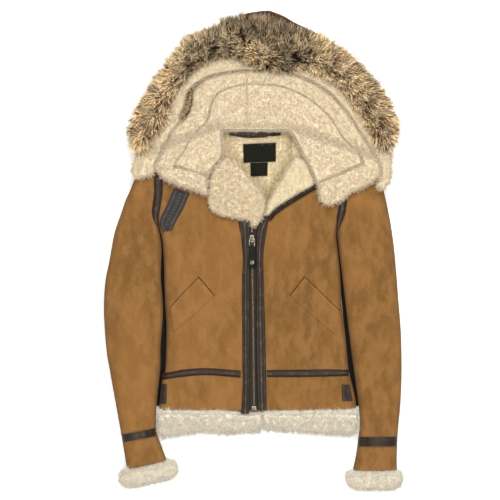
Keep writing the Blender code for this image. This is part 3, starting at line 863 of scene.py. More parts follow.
def collar_low(x, y):
    """Underside of the collar: on the fronts below the shoulder line, on the hood above it."""
    start, end = SHOULDER_RAMP
    down = eased((y - shoulder_line(x) - start) / (end - start))
    return COLLAR_ON_FRONT + (COLLAR_ON_HOOD - COLLAR_ON_FRONT) * down


def facing_low(x, y):
    """Underside of the hood's facing: on the sleeve heads at its corners, then on the hood."""
    down = eased((y - FACING_RAMP_Y) / FACING_RAMP)
    return LOBE_ON_SLEEVE + (COLLAR_ON_HOOD - LOBE_ON_SLEEVE) * down


def level(height):
    """A face that is flat at one height."""
    return lambda x, y: np.full(np.broadcast(x, y).shape, float(height))


def lifted(face, height):
    """A face that follows another at a distance above it."""
    return lambda x, y: face(x, y) + height


def spread(edge_a, edge_b, middle, near=4):
    """Places across a section, closer together over the part that each edge's rounding takes."""
    close = 1 - np.cos(np.linspace(0, math.pi / 2, near + 1))[:-1]
    inner = np.linspace(edge_a, 1 - edge_b, middle + 2)
    return np.concatenate([close * edge_a, inner, 1 - close[::-1] * edge_b])


def lattice_noise(x, y, size, seed):
    """Smooth values from -1 to 1: random numbers on a lattice, blended between its corners."""
    lattice = np.random.default_rng(seed).uniform(-1, 1, (LATTICE, LATTICE))
    u, v = x / size + 31.7, y / size + 17.3
    i, j = np.floor(u).astype(int), np.floor(v).astype(int)
    blend_u, blend_v = eased(u - i), eased(v - j)
    i, next_i = i % LATTICE, (i + 1) % LATTICE
    j, next_j = j % LATTICE, (j + 1) % LATTICE
    low = lattice[i, j] * (1 - blend_u) + lattice[next_i, j] * blend_u
    high = lattice[i, next_j] * (1 - blend_u) + lattice[next_i, next_j] * blend_u
    return low * (1 - blend_v) + high * blend_v


def soft_hide(x, y):
    """How sheepskin lies unevenly under its own weight: three sizes of low swelling added up."""
    return (0.9 * lattice_noise(x, y, 58, 1) + 0.45 * lattice_noise(x + 0.4 * y, y, 24, 2)
            + 0.16 * lattice_noise(x, y, 8, 3))


def curls(x, y, size, height, seed=5):
    """Curls of wool: rounded knobs where two lattice noises of about one curl's size cross."""
    first = lattice_noise(x, y, size, seed)
    second = lattice_noise(0.7 * x + 0.7 * y, 0.7 * y - 0.7 * x, 0.6 * size, seed + 1)
    return height * (0.65 * first + 0.5 * second - 0.25)


def faces_of(text, low, high, along, across, edges=(0.0, 0.0), ends=(0.0, 0.0), belly=0.0,
             relief=None, profile=None):
    """The upper and the lower face of a cut piece, as two grids of points.

    A row of the grid runs from edge A to edge B of one section. The height between the two faces
    is shrunk towards the belly near rounded edges and ends, as the part's own solids are. relief
    adds a height worked out from x and y, and profile one worked out from the place across.
    """
    cut = sections(text, along, ends)
    wide = np.hypot(cut["bx"] - cut["ax"], cut["by"] - cut["ay"])[:, None]
    to_end = np.minimum(rounded(cut["along"], ends[0]),
                        rounded(cut["length"] - cut["along"], ends[1]))[:, None]
    x = cut["ax"][:, None] + across * (cut["bx"] - cut["ax"])[:, None]
    y = cut["ay"][:, None] + across * (cut["by"] - cut["ay"])[:, None]
    bottom, top = low(x, y), high(x, y)
    if relief is not None:
        top = top + relief(x, y)
    if profile is not None:
        top = top + profile(across)
    centre = bottom + belly * (top - bottom)
    full = rounded(across * wide, edges[0]) * rounded((1 - across) * wide, edges[1]) * to_end
    upper = np.stack([x, y, centre + (top - centre) * full], axis=-1)
    lower = np.stack([x, y, centre + (bottom - centre) * full], axis=-1)
    return upper, lower


def face_area(grid):
    """The area in square metres of a grid of points in mm, cell by cell."""
    side_a, side_b = np.diff(grid, axis=0)[:, :-1], np.diff(grid, axis=1)[:-1]
    return float(np.linalg.norm(np.cross(side_a, side_b), axis=-1).sum()) * MM * MM


def closed_body(upper, lower):
    """A slab's points, four sided faces and UVs, and how many of its faces are on top.

    It is two grids of points, joined by a wall round their rims.
    """
    rows, places = upper.shape[:2]
    index = np.arange(rows * places).reshape(rows, places)
    top = np.stack([index[:-1, :-1], index[:-1, 1:], index[1:, 1:], index[1:, :-1]], -1)
    top = top.reshape(-1, 4)
    rim = np.concatenate([index[0, :-1], index[:-1, -1], index[-1, :0:-1], index[:0:-1, 0]])
    onward, under = np.roll(rim, -1), rows * places
    wall = np.stack([rim, rim + under, onward + under, onward], -1)
    faces = np.concatenate([top, top[:, ::-1] + under, wall])
    points = np.concatenate([upper.reshape(-1, 3), lower.reshape(-1, 3)])
    a, b, d = (points[top[:, k]] for k in (0, 1, 3))
    if np.cross(b - a, d - a)[:, 2].sum() < 0:
        faces = faces[:, ::-1]
    step_u = np.linalg.norm(np.diff(upper, axis=1), axis=-1)
    step_v = np.linalg.norm(np.diff(upper, axis=0), axis=-1).mean(axis=1)
    u = np.concatenate([np.zeros((rows, 1)), np.cumsum(step_u, axis=1)], axis=1)
    v = np.concatenate([[0.0], np.cumsum(step_v)])[:, None] + np.zeros_like(u)
    uv = np.stack([u, v], -1).reshape(-1, 2)
    return points, faces, np.concatenate([uv, uv]) * MM, len(top)


def mesh_object(name, points, faces, uv, materials, sharp=50.0):
    """A mesh object from arrays: points in mm, faces of one size, and one UV for each point."""
    mesh = bpy.data.meshes.new(name)
    count, size = faces.shape
    mesh.vertices.add(len(points))
    mesh.vertices.foreach_set("co", (points * MM).astype(np.float32).ravel())
    mesh.loops.add(count * size)
    mesh.loops.foreach_set("vertex_index", faces.astype(np.int32).ravel())
    mesh.polygons.add(count)
    mesh.polygons.foreach_set("loop_start", np.arange(0, count * size, size, dtype=np.int32))
    mesh.update(calc_edges=True)
    layer = mesh.uv_layers.new(name="UVMap")
    layer.data.foreach_set("uv", uv[faces.ravel()].astype(np.float32).ravel())
    for material in materials:
        mesh.materials.append(material)
    mesh.shade_smooth()
    if sharp:
        mesh.set_sharp_from_angle(angle=math.radians(sharp))
    mesh.validate()
    thing = bpy.data.objects.new(name, mesh)
    bpy.context.scene.collection.objects.link(thing)
    return thing


PIECES = {}


def sew(name, node, text, low, high, material, under=None, slot="suede", along=40, across=None,
        profile=None, **shape):
    """Makes one cut piece in place of its CAD node, and keeps its arrays for what lies on it.

    Its points carry how steep the surface is there and how high on its profile they lie, which the
    materials use for painted shade on suede and a painted highlight along leather ridges.
    """
    across = spread(0.1, 0.1, 12) if across is None else across
    upper, lower = faces_of(text, low, high, along, across, profile=profile, **shape)
    points, faces, uv, tops = closed_body(upper, lower)
    thing = mesh_object(name, points, faces, uv, [material, under or material])
    if under:
        below = np.ones(len(faces), np.int32)
        below[:tops] = 0
        thing.data.polygons.foreach_set("material_index", below)
    normals = np.zeros(len(points) * 3)
    thing.data.vertices.foreach_get("normal", normals)
    steep = 1 - np.abs(normals.reshape(-1, 3)[:, 2])
    thing.data.attributes.new("Steep", "FLOAT", "POINT").data.foreach_set("value", steep)
    if profile is not None:
        crest = np.zeros(len(points))
        crest[:upper.shape[0] * upper.shape[1]] = np.tile(profile(across) / profile(across).max(),
                                                          upper.shape[0])
        thing.data.attributes.new("Crest", "FLOAT", "POINT").data.foreach_set("value", crest)
    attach(thing, "jacket")
    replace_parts(thing, node)
    PIECES[name] = {"thing": thing, "points": points, "faces": faces, "upper": upper,
                    "area": (face_area(upper) + face_area(lower)) / 2}
    return thing


def roots_on(piece, count, rng, keep):
    """Random places spread by area over a piece, the normals there, and the area in mm2.

    keep weighs each face, and so the area that it counts for.
    """
    points, faces = piece["points"], piece["faces"]
    triangles = np.concatenate([faces[:, [0, 1, 2]], faces[:, [0, 2, 3]]])
    a, b, c = (points[triangles[:, k]] for k in range(3))
    normal = np.cross(b - a, c - a)
    area = np.linalg.norm(normal, axis=1)
    at_points = np.zeros_like(points)
    for k in range(3):
        np.add.at(at_points, triangles[:, k], normal)
    at_points /= np.linalg.norm(at_points, axis=1, keepdims=True) + 1e-9
    normal = normal / (area[:, None] + 1e-9)
    weight = area * keep((a + b + c) / 3, normal)
    chosen = rng.choice(len(triangles), count, p=weight / weight.sum())
    s, t = rng.random((2, count, 1))
    over = s + t > 1
    s, t = np.where(over, 1 - s, s), np.where(over, 1 - t, t)
    corners = triangles[chosen]
    mix = [1 - s - t, s, t]
    place = sum(m * points[corners[:, k]] for k, m in enumerate(mix))
    outward = sum(m * at_points[corners[:, k]] for k, m in enumerate(mix))
    outward /= np.linalg.norm(outward, axis=1, keepdims=True) + 1e-9
    return place, outward, weight.sum() / 2


def seen_side(centre, normal):
    """Faces that look up or sideways."""
    return (normal[:, 2] > -0.2).astype(float)


SPINDLE = np.array([[0, 2, 1], [0, 3, 2], [0, 1, 3], [1, 2, 4], [2, 3, 4], [3, 1, 4]])
SPIKE = np.array([[2, 1, 0], [0, 1, 3], [1, 2, 3], [2, 0, 3]])


def ring_round(root, tip, width):
    """Three steps away from each fibre's line, evenly round it, half its width long."""
    run = tip - root
    run = run / (np.linalg.norm(run, axis=1, keepdims=True) + 1e-9)
    aside = np.cross(run, np.array([0.31, 0.57, 0.76]))
    aside /= np.linalg.norm(aside, axis=1, keepdims=True) + 1e-9
    other = np.cross(run, aside)
    turn = 2 * math.pi / 3 * np.arange(3) + 0.7
    ring = np.cos(turn)[:, None] * aside[:, None, :] + np.sin(turn)[:, None] * other[:, None, :]
    return ring * np.asarray(width, float).reshape(-1, 1, 1) / 2


def joined_fibres(name, points, pattern, along, odd, tuft, material):
    """Fibres of one pattern joined in one mesh, from an array of points for each fibre.

    The UV holds a random number and the place along the fibre, and the second UV map holds the
    tuft's number and the place across the piece.
    """
    count, size = points.shape[:2]
    faces = (pattern[None] + size * np.arange(count)[:, None, None]).reshape(-1, 3)
    uv = np.stack([np.broadcast_to(odd[:, None], (count, size)),
                   np.broadcast_to(along, (count, size))], -1).reshape(-1, 2)
    thing = mesh_object(name, points.reshape(-1, 3), faces, uv, [material], sharp=0)
    second = thing.data.uv_layers.new(name="Tuft")
    tuft_uv = np.repeat(tuft, size, axis=0)
    second.data.foreach_set("uv", tuft_uv[faces.ravel()].astype(np.float32).ravel())
    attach(thing, "jacket")
    return thing


def strands(name, root, middle, tip, width, odd, tuft, material):
    """Long fibres as spindles: a point at the root, a ring at the bend, a point at the tip."""
    points = np.concatenate([root[:, None], middle[:, None] + ring_round(root, tip, width),
                             tip[:, None]], axis=1)
    return joined_fibres(name, points, SPINDLE, [0, 0.5, 0.5, 0.5, 1.0], odd, tuft, material)


def spikes(name, root, tip, width, odd, tuft, material):
    """Short straight fibres as closed spikes: a ring at the root and a point at the tip."""
    points = np.concatenate([root[:, None] + ring_round(root, tip, width), tip[:, None]], axis=1)
    return joined_fibres(name, points, SPIKE, [0, 0, 0, 1.0], odd, tuft, material)


def tuft_of(place, size, seed):
    """Each place's tuft: a random direction, a random number, and the tuft's middle in plan.

    The tufts are square cells of one size, warped so that their borders don't show.
    """
    warp_x = place[:, 0] + 0.35 * size * lattice_noise(place[:, 0], place[:, 1], size, seed)
    warp_y = place[:, 1] + 0.35 * size * lattice_noise(place[:, 1], place[:, 0], size, seed + 1)
    i, j = np.floor(warp_x / size).astype(int), np.floor(warp_y / size).astype(int)
    drawn = np.random.default_rng(seed).random((*TUFT_CELLS, 3))
    picked = drawn[i % TUFT_CELLS[0], j % TUFT_CELLS[1]]
    centre = np.stack([(i + 0.5) * size, (j + 0.5) * size], -1)
    return picked[:, :2] * 2 - 1, picked[:, 2], centre


def wool(name, piece, material, density, length, width=1.6, lean=None, nap=0.5, tuft=7.0,
         loose=0.35, seed=11, keep=seen_side):
    """Wool on a piece: short fibres that stand up from it and lean with the nap, tuft by tuft.

    One fibre in twelve is longer and strays. On a piece's steep sides the fibres are longer too,
    so that its edge is shaggy. lean gives a further lean in x and y for each root. density is the
    number of fibres on a square millimetre, and length and width are in millimetres.
    """
    rng = np.random.default_rng(seed)
    found = PIECES[piece]
    _, _, whole = roots_on(found, 1, rng, keep)
    count = int(whole * density)
    place, outward, _ = roots_on(found, count, rng, keep)
    pull, number, _ = tuft_of(place, tuft, seed)
    direction = outward + rng.normal(0, loose, (count, 3))
    direction[:, :2] += nap * pull
    if lean is not None:
        direction[:, :2] += lean(place)
    direction /= np.linalg.norm(direction, axis=1, keepdims=True)
    stray = np.where(rng.random((count, 1)) < 1 / 12, 1.5, 1.0)
    steep = 1 + 0.35 * np.clip(1 - outward[:, 2:], 0, 1)
    reach = length * rng.uniform(0.6, 1.1, (count, 1)) * stray * steep
    tip = place + direction * reach
    tip[:, 2] = np.maximum(tip[:, 2], 0.3)
    return spikes(name, place - outward * 0.6, tip, width, rng.random(count),
                  np.stack([number, rng.random(count)], -1), material)


# Materials


def add_node(tree, kind, inputs=None, **settings):
    """A shader node with its settings and inputs: an input is a value or another node's socket."""
    made = tree.nodes.new(kind)
    for name, value in settings.items():
        setattr(made, name, value)
    for name, value in (inputs or {}).items():
        if isinstance(value, bpy.types.NodeSocket):
            tree.links.new(value, made.inputs[name])
        else:
            made.inputs[name].default_value = value
    return made


def colour_ramp(tree, fac, stops, smooth=False):
    made = add_node(tree, "ShaderNodeValToRGB", {"Fac": fac})
    ramp = made.color_ramp
    ramp.interpolation = "EASE" if smooth else "LINEAR"
    while len(ramp.elements) < len(stops):
        ramp.elements.new(0.5)
    for element, (position, colour) in zip(ramp.elements, stops):
        element.position, element.color = position, (*colour, 1)
    return made.outputs["Color"]


def blend(tree, fac, a, b, mode="MIX"):
    made = add_node(tree, "ShaderNodeMix", data_type="RGBA", blend_type=mode)
    for index, value in ((0, fac), (6, a), (7, b)):
        if isinstance(value, bpy.types.NodeSocket):
            tree.links.new(value, made.inputs[index])
        else:
            made.inputs[index].default_value = value if index == 0 else (*value, 1)
    return made.outputs[2]


def arithmetic(tree, operation, a, b):
    made = add_node(tree, "ShaderNodeMath", {0: a, 1: b}, operation=operation)
    return made.outputs[0]


def remap(tree, value, low=0.0, high=1.0, to_low=0.0, to_high=1.0):
    """A value stretched from the range low to high to another range, and kept inside that."""
    made = add_node(tree, "ShaderNodeMapRange", {0: value, 1: low, 2: high, 3: to_low, 4: to_high})
    return made.outputs[0]


def noise(tree, vector, scale, detail=3.0, roughness=0.55):
    made = add_node(tree, "ShaderNodeTexNoise", {"Vector": vector, "Scale": scale,
                                                 "Detail": detail, "Roughness": roughness})
    return made.outputs["Fac"]


def new_group(name, inputs, outputs):
    """An empty shader node group with named sockets."""
    group = bpy.data.node_groups.new(name, "ShaderNodeTree")
    for kind, sockets in (("INPUT", inputs), ("OUTPUT", outputs)):
        for socket, socket_type in sockets:
            group.interface.new_socket(socket, in_out=kind, socket_type="NodeSocket" + socket_type)
    return group, group.nodes.new("NodeGroupInput"), group.nodes.new("NodeGroupOutput")


def nap_group():
    """Suede's nap: three sizes of cloud between a dark and a light colour, and a fine height."""
    group, given, out = new_group("suede nap", [("Base", "Color"), ("Dark", "Color"),
                                                ("Light", "Color")],
                                  [("Colour", "Color"), ("Height", "Float")])
    where = add_node(group, "ShaderNodeTexCoord").outputs["Object"]
    drawn = add_node(group, "ShaderNodeVectorMath", {0: where, 1: (1.0, 0.5, 1.0)},
                     operation="MULTIPLY").outputs[0]
    broad = noise(group, drawn, 11.0, 3.0)
    patch = noise(group, drawn, 46.0, 4.0, 0.6)
    fine = noise(group, where, 520.0, 3.0, 0.7)
    shade = colour_ramp(group, broad, [(0.3, (0.0, 0.0, 0.0)), (0.7, (1.0, 1.0, 1.0))], True)
    patches = colour_ramp(group, patch, [(0.32, (0.0, 0.0, 0.0)), (0.68, (1.0, 1.0, 1.0))], True)
    colour = blend(group, arithmetic(group, "MULTIPLY", shade, 0.85), given.outputs["Base"],
                   given.outputs["Dark"])
    colour = blend(group, arithmetic(group, "MULTIPLY", patches, 0.62), colour,
                   given.outputs["Light"])
    speckle = colour_ramp(group, fine, [(0.35, (0.86, 0.86, 0.86)), (0.65, (1.10, 1.10, 1.10))])
    colour = blend(group, 1.0, colour, speckle, "MULTIPLY")
    height = arithmetic(group, "ADD", arithmetic(group, "MULTIPLY", fine, 0.6),
                        arithmetic(group, "MULTIPLY", patch, 0.8))
    group.links.new(colour, out.inputs["Colour"])
    group.links.new(height, out.inputs["Height"])
    return group


def fibre_group():
    """Colour along a fibre from its root to its tip, lighter or darker by fibre and by tuft.

    A share of the fibres is of an odd colour, and patches some centimetres wide take another.
    """
    group, given, out = new_group("fibre", [("Root", "Color"), ("Middle", "Color"),
                                            ("Tip", "Color"), ("Odd", "Color"),
                                            ("Patch", "Color"), ("Odd Share", "Float"),
                                            ("Patch Share", "Float"), ("Tuft Shade", "Float"),
                                            ("Own Shade", "Float"), ("Tip Start", "Float")],
                                  [("Colour", "Color")])
    strand = add_node(group, "ShaderNodeUVMap", uv_map="UVMap").outputs["UV"]
    split = add_node(group, "ShaderNodeSeparateXYZ", {"Vector": strand})
    number, along = split.outputs["X"], split.outputs["Y"]
    tuft = add_node(group, "ShaderNodeSeparateXYZ", {
        "Vector": add_node(group, "ShaderNodeUVMap", uv_map="Tuft").outputs["UV"]}).outputs["X"]
    where = add_node(group, "ShaderNodeTexCoord").outputs["Object"]
    patch = remap(group, noise(group, where, 26.0, 2.0), 0.44, 0.60)
    lower = remap(group, along, 0.0, 0.55)
    upper = remap(group, along, given.outputs["Tip Start"], 1.0)
    colour = blend(group, lower, given.outputs["Root"], given.outputs["Middle"])
    colour = blend(group, upper, colour, given.outputs["Tip"])
    patched = arithmetic(group, "MULTIPLY", patch, given.outputs["Patch Share"])
    colour = blend(group, patched, colour, given.outputs["Patch"])
    is_odd = arithmetic(group, "LESS_THAN", number, given.outputs["Odd Share"])
    colour = blend(group, is_odd, colour, given.outputs["Odd"])
    shade = arithmetic(group, "MULTIPLY", arithmetic(group, "SUBTRACT", tuft, 0.5),
                       given.outputs["Tuft Shade"])
    own = arithmetic(group, "MULTIPLY", arithmetic(group, "SUBTRACT", number, 0.5),
                     given.outputs["Own Shade"])
    level_of = arithmetic(group, "ADD", arithmetic(group, "ADD", shade, own), 1.0)
    scaled = add_node(group, "ShaderNodeVectorMath", {0: colour}, operation="SCALE")
    group.links.new(level_of, scaled.inputs["Scale"])
    group.links.new(scaled.outputs[0], out.inputs["Colour"])
    return group


def grain_group():
    """Leather's grain: small cells parted by fine creases, a height and a mask of worn places."""
    group, given, out = new_group("leather grain", [("Cells", "Float")],
                                  [("Height", "Float"), ("Rubbed", "Float")])
    where = add_node(group, "ShaderNodeTexCoord").outputs["Object"]
    cells = add_node(group, "ShaderNodeTexVoronoi", {"Vector": where,
                                                     "Scale": given.outputs["Cells"]},
                     feature="DISTANCE_TO_EDGE")
    creases = remap(group, cells.outputs["Distance"], 0.0, 0.12)
    rub = noise(group, where, 60.0, 4.0, 0.65)
    height = arithmetic(group, "ADD", creases, arithmetic(group, "MULTIPLY", rub, 0.9))
    group.links.new(height, out.inputs["Height"])
    group.links.new(remap(group, rub, 0.5, 0.72), out.inputs["Rubbed"])
    return group


NAP, FIBRE, GRAIN = nap_group(), fibre_group(), grain_group()


def new_material(name, **constants):
    """A material and its shader, with the shader's constant inputs set by name."""
    material = bpy.data.materials.new(name)
    material.use_nodes = True
    shader = material.node_tree.nodes["Principled BSDF"]
    for socket, value in constants.items():
        shader.inputs[socket.replace("_", " ")].default_value = value
    return material, material.node_tree, shader


def use_group(tree, group, **values):
    made = add_node(tree, "ShaderNodeGroup")
    made.node_tree = group
    for name, value in values.items():
        made.inputs[name.replace("_", " ")].default_value = value
    return made


def bump(tree, shader, height, distance, strength=1.0):
    made = add_node(tree, "ShaderNodeBump", {"Height": height, "Distance": distance,
                                             "Strength": strength})
    tree.links.new(made.outputs["Normal"], shader.inputs["Normal"])


def suede_material(name, base, dark, light, rim, rim_mask="Steep", rim_from=0.08, rim_to=0.75):
    """Napped suede, that turns to the rim colour, a painted shade, on its steep sides or where a
    mask says so.
    """
    material, tree, shader = new_material(name, Roughness=0.92, Sheen_Weight=0.2,
                                          Sheen_Roughness=0.45, Sheen_Tint=(0.9, 0.62, 0.36, 1),
                                          Specular_IOR_Level=0.08)
    nap = use_group(tree, NAP, Base=(*base, 1), Dark=(*dark, 1), Light=(*light, 1))
    masked = add_node(tree, "ShaderNodeAttribute", attribute_name=rim_mask).outputs["Fac"]
    painted_edge_shade = remap(tree, masked, rim_from, rim_to, to_high=0.85)
    tree.links.new(blend(tree, painted_edge_shade, nap.outputs["Colour"], rim), shader.inputs["Base Color"])
    bump(tree, shader, nap.outputs["Height"], 0.0005, 0.7)
    return material


def fibre_material(name, root, middle, tip, odd, odd_share, tuft_shade, own_shade=0.16,
                   patch=(0.0, 0.0, 0.0), patch_share=0.0, rough=0.8, gloss=0.15, sheen=0.0,
                   tip_start=0.55):
    """Wool or fur: its colours at the root, the middle and the tip, and how much they vary."""
    material, tree, shader = new_material(name, Roughness=rough, Specular_IOR_Level=gloss,
                                          Sheen_Weight=sheen)
    fibre = use_group(tree, FIBRE, Root=(*root, 1), Middle=(*middle, 1), Tip=(*tip, 1),
                      Odd=(*odd, 1), Patch=(*patch, 1), Odd_Share=odd_share,
                      Patch_Share=patch_share, Tuft_Shade=tuft_shade, Own_Shade=own_shade,
                      Tip_Start=tip_start)
    tree.links.new(fibre.outputs["Colour"], shader.inputs["Base Color"])
    return material


def fleece_material(name, dark, light, curl):
    """The wool's own body, under its loose fibres: curls of one size, with painted shade between
    them.
    """
    material, tree, shader = new_material(name, Roughness=0.95, Specular_IOR_Level=0.1)
    where = add_node(tree, "ShaderNodeTexCoord").outputs["Object"]
    coarse = noise(tree, where, 1 / (curl * MM), 3.0, 0.6)
    fine = noise(tree, where, 4 / (curl * MM), 3.0, 0.7)
    both = arithmetic(tree, "ADD", arithmetic(tree, "MULTIPLY", coarse, 0.6),
                      arithmetic(tree, "MULTIPLY", fine, 0.4))
    # The dark colour is painted shade in the hollows that the same noise sinks for the bump.
    tree.links.new(colour_ramp(tree, both, [(0.36, dark), (0.58, light)], True),
                   shader.inputs["Base Color"])
    bump(tree, shader, both, 0.003, 0.8)
    return material


def leather_material(name, dark, wear_and_highlight, roughness=0.38):
    """Smooth leather with a grain, paler and duller in worn spots, and with a painted highlight of
    the same pale colour along the ridges of its profile.
    """
    material, tree, shader = new_material(name, Roughness=roughness, Specular_IOR_Level=0.26)
    grain = use_group(tree, GRAIN, Cells=700.0)
    crest = add_node(tree, "ShaderNodeAttribute", attribute_name="Crest").outputs["Fac"]
    spots = grain.outputs["Rubbed"]
    # The Crest mask paints a highlight along the ridges; the grain's spots are wear.
    ridge_highlight = remap(tree, crest, 0.70, 1.0)
    blotch = arithmetic(tree, "ADD", arithmetic(tree, "MULTIPLY", spots, 0.9), 0.45)
    worn = arithmetic(tree, "ADD", arithmetic(tree, "MULTIPLY", ridge_highlight, blotch),
                      arithmetic(tree, "MULTIPLY", spots, 0.18))
    tree.links.new(blend(tree, worn, dark, wear_and_highlight), shader.inputs["Base Color"])
    tree.links.new(remap(tree, spots, to_low=roughness, to_high=roughness + 0.16),
                   shader.inputs["Roughness"])
    bump(tree, shader, grain.outputs["Height"], 0.0004, 0.8)
    return material


def cloth_material(name, dark, light, threads):
    """A plain weave: two sets of fine ribs that cross, by the piece's own UVs in metres."""
    material, tree, shader = new_material(name, Roughness=0.85, Specular_IOR_Level=0.12)
    own = add_node(tree, "ShaderNodeUVMap", uv_map="UVMap").outputs["UV"]
    ribs = []
    for direction in ("X", "Y"):
        wave = add_node(tree, "ShaderNodeTexWave", {"Vector": own, "Scale": threads,
                                                    "Distortion": 0.6, "Detail": 1.0},
                        bands_direction=direction)
        ribs.append(wave.outputs["Fac"])
    weave = arithmetic(tree, "MAXIMUM", *ribs)
    tree.links.new(blend(tree, weave, dark, light), shader.inputs["Base Color"])
    bump(tree, shader, weave, 0.0003, 0.7)
    return material


def metal_material(name, bright, dull):
    """Aged metal: bright and dull patches of a few millimetres, smoother where it is dull."""
    material, tree, shader = new_material(name, Metallic=1.0, Roughness=0.36)
    where = add_node(tree, "ShaderNodeTexCoord").outputs["Object"]
    tarnish = noise(tree, where, 350.0, 4.0, 0.65)
    tree.links.new(colour_ramp(tree, tarnish, [(0.38, dull), (0.62, bright)]),
                   shader.inputs["Base Color"])
    tree.links.new(remap(tree, tarnish, to_low=0.28, to_high=0.5), shader.inputs["Roughness"])
    bump(tree, shader, tarnish, 0.0001, 0.4)
    return material


# The rim colour of each suede is painted shade: on the steep sides of the body and sleeves, and
# along the hood's outer edge.
SUEDE_TONES = (0.228, 0.106, 0.029), (0.140, 0.067, 0.019), (0.305, 0.148, 0.047)
SUEDE = suede_material("suede", *SUEDE_TONES, (0.105, 0.058, 0.018))
HOOD_SUEDE = suede_material("hood suede", *SUEDE_TONES, (0.045, 0.026, 0.013), "Crest", 0.90, 0.97)
# The first colour of each wool body, and of the under fur, is painted shade between its curls.
WOOL_SKIN = fleece_material("shorn wool body", (0.67, 0.53, 0.34), (0.79, 0.68, 0.495), 6.0)
WOOL = fibre_material("shorn wool", (0.69, 0.55, 0.355), (0.81, 0.71, 0.53), (0.90, 0.83, 0.68),
                      (0.68, 0.53, 0.33), 0.12, 0.08, 0.2)
NECK_SKIN = fleece_material("neck wool body", (0.55, 0.425, 0.235), (0.74, 0.625, 0.41), 6.0)
NECK_WOOL = fibre_material("neck wool", (0.61, 0.475, 0.275), (0.76, 0.645, 0.43),
                           (0.85, 0.77, 0.575), (0.59, 0.445, 0.25), 0.14, 0.10, 0.2)
TURNED_WOOL = fibre_material("turned wool", (0.68, 0.56, 0.385), (0.80, 0.715, 0.55),
                             (0.86, 0.81, 0.68), (0.67, 0.53, 0.35), 0.12, 0.08, 0.2)
CURLY_SKIN = fleece_material("curly wool body", (0.50, 0.36, 0.20), (0.77, 0.65, 0.45), 5.0)
CURLY = fibre_material("curly wool", (0.62, 0.47, 0.28), (0.80, 0.71, 0.525), (0.90, 0.84, 0.70),
                       (0.66, 0.49, 0.28), 0.12, 0.16, 0.20)
HEM_SKIN = fleece_material("long wool body", (0.65, 0.565, 0.42), (0.85, 0.78, 0.645), 7.0)
HEM_WOOL = fibre_material("long wool", (0.71, 0.62, 0.46), (0.86, 0.81, 0.68), (0.97, 0.95, 0.87),
                          (0.71, 0.60, 0.42), 0.12, 0.16, 0.24, sheen=0.2)
FUR_SKIN = fleece_material("under fur", (0.055, 0.036, 0.020), (0.15, 0.096, 0.046), 5.0)
FUR = fibre_material("fur", (0.042, 0.023, 0.011), (0.27, 0.138, 0.045), (1.0, 0.83, 0.50),
                     (0.026, 0.017, 0.010), 0.40, 1.35, 1.5, (0.16, 0.125, 0.095), 0.3, 0.6,
                     0.3, tip_start=0.56)
# The second colour of each leather is its worn tone in spots and a painted highlight along its
# ridges.
LEATHER_BROWN = leather_material("trim leather", (0.024, 0.0155, 0.0095), (0.175, 0.134, 0.108))
STRIP_LEATHER = leather_material("strip leather", (0.014, 0.0085, 0.005), (0.095, 0.064, 0.046))
STRAP_LEATHER = leather_material("worn strap leather", (0.034, 0.029, 0.027),
                                 (0.090, 0.083, 0.080))
RELIEF_LEATHER = leather_material("worn relief leather", (0.065, 0.060, 0.056),
                                  (0.13, 0.12, 0.115))
# Near-black leather for the side strips and the sheets in the armhole seams: painted shade of the
# gaps beside the sleeves.
GAP_SHADE_LEATHER = leather_material("gap shade leather", (0.007, 0.0045, 0.003), (0.014, 0.009, 0.007),
                                  0.6)
TAB_LEATHER = leather_material("pull tab leather", (0.005, 0.008, 0.004), (0.016, 0.020, 0.013))
BRASS = metal_material("aged brass", (0.58, 0.52, 0.38), (0.14, 0.115, 0.075))
DARK_BRASS = metal_material("dark brass", (0.36, 0.30, 0.19), (0.09, 0.07, 0.04))
BLACK_CLOTH = cloth_material("black cloth", (0.003, 0.0035, 0.002), (0.010, 0.011, 0.007), 160.0)
TAPE_CLOTH = cloth_material("zip tape", (0.014, 0.011, 0.008), (0.045, 0.035, 0.025), 220.0)
DARK_THREAD = cloth_material("dark thread", (0.02, 0.014, 0.012), (0.07, 0.055, 0.05), 400.0)
PALE_THREAD = cloth_material("pale thread", (0.10, 0.092, 0.090), (0.21, 0.195, 0.19), 400.0)
TAN_THREAD = cloth_material("tan thread", (0.40, 0.22, 0.09), (0.66, 0.42, 0.21), 400.0)
# A dark line round the pocket welts: painted shadow, drawn as close stitches.
WELT_SHADOW_LINE = cloth_material("seam shade", (0.030, 0.013, 0.005), (0.075, 0.034, 0.012), 400.0)


# Suede body and sleeves

def front_top(x, y):
    """The fronts' suede: their plain face with the hide's uneven lie, which fades at the edges."""
    left, right = BODY_A(y), BODY_B(y)
    inside = np.clip(np.minimum(x - left, right - x) / 30, 0, 1)
    return flat_front_top(x, y) + (soft_hide(x, y) - trough(SOFT_FOLDS, x, y)) * inside


def uneven(face):
    """A sleeve's upper face with the hide's uneven lie and its soft folds."""
    return lambda x, y: face(x, y) + 0.7 * soft_hide(x + 300, y + 90) - trough(SOFT_FOLDS, x, y)


def hollowed(face):
    """A face that lies on the floor, with the shallow hollows that its folds leave under it."""
    return lambda x, y: face(x, y) + trough(BACK_FOLDS, x, y)


def edge_shade_ramp(across):
    """Next to no height, that grows to the hood's outer edge, where it sets the suede's painted
    shade.
    """
    return 0.01 * across


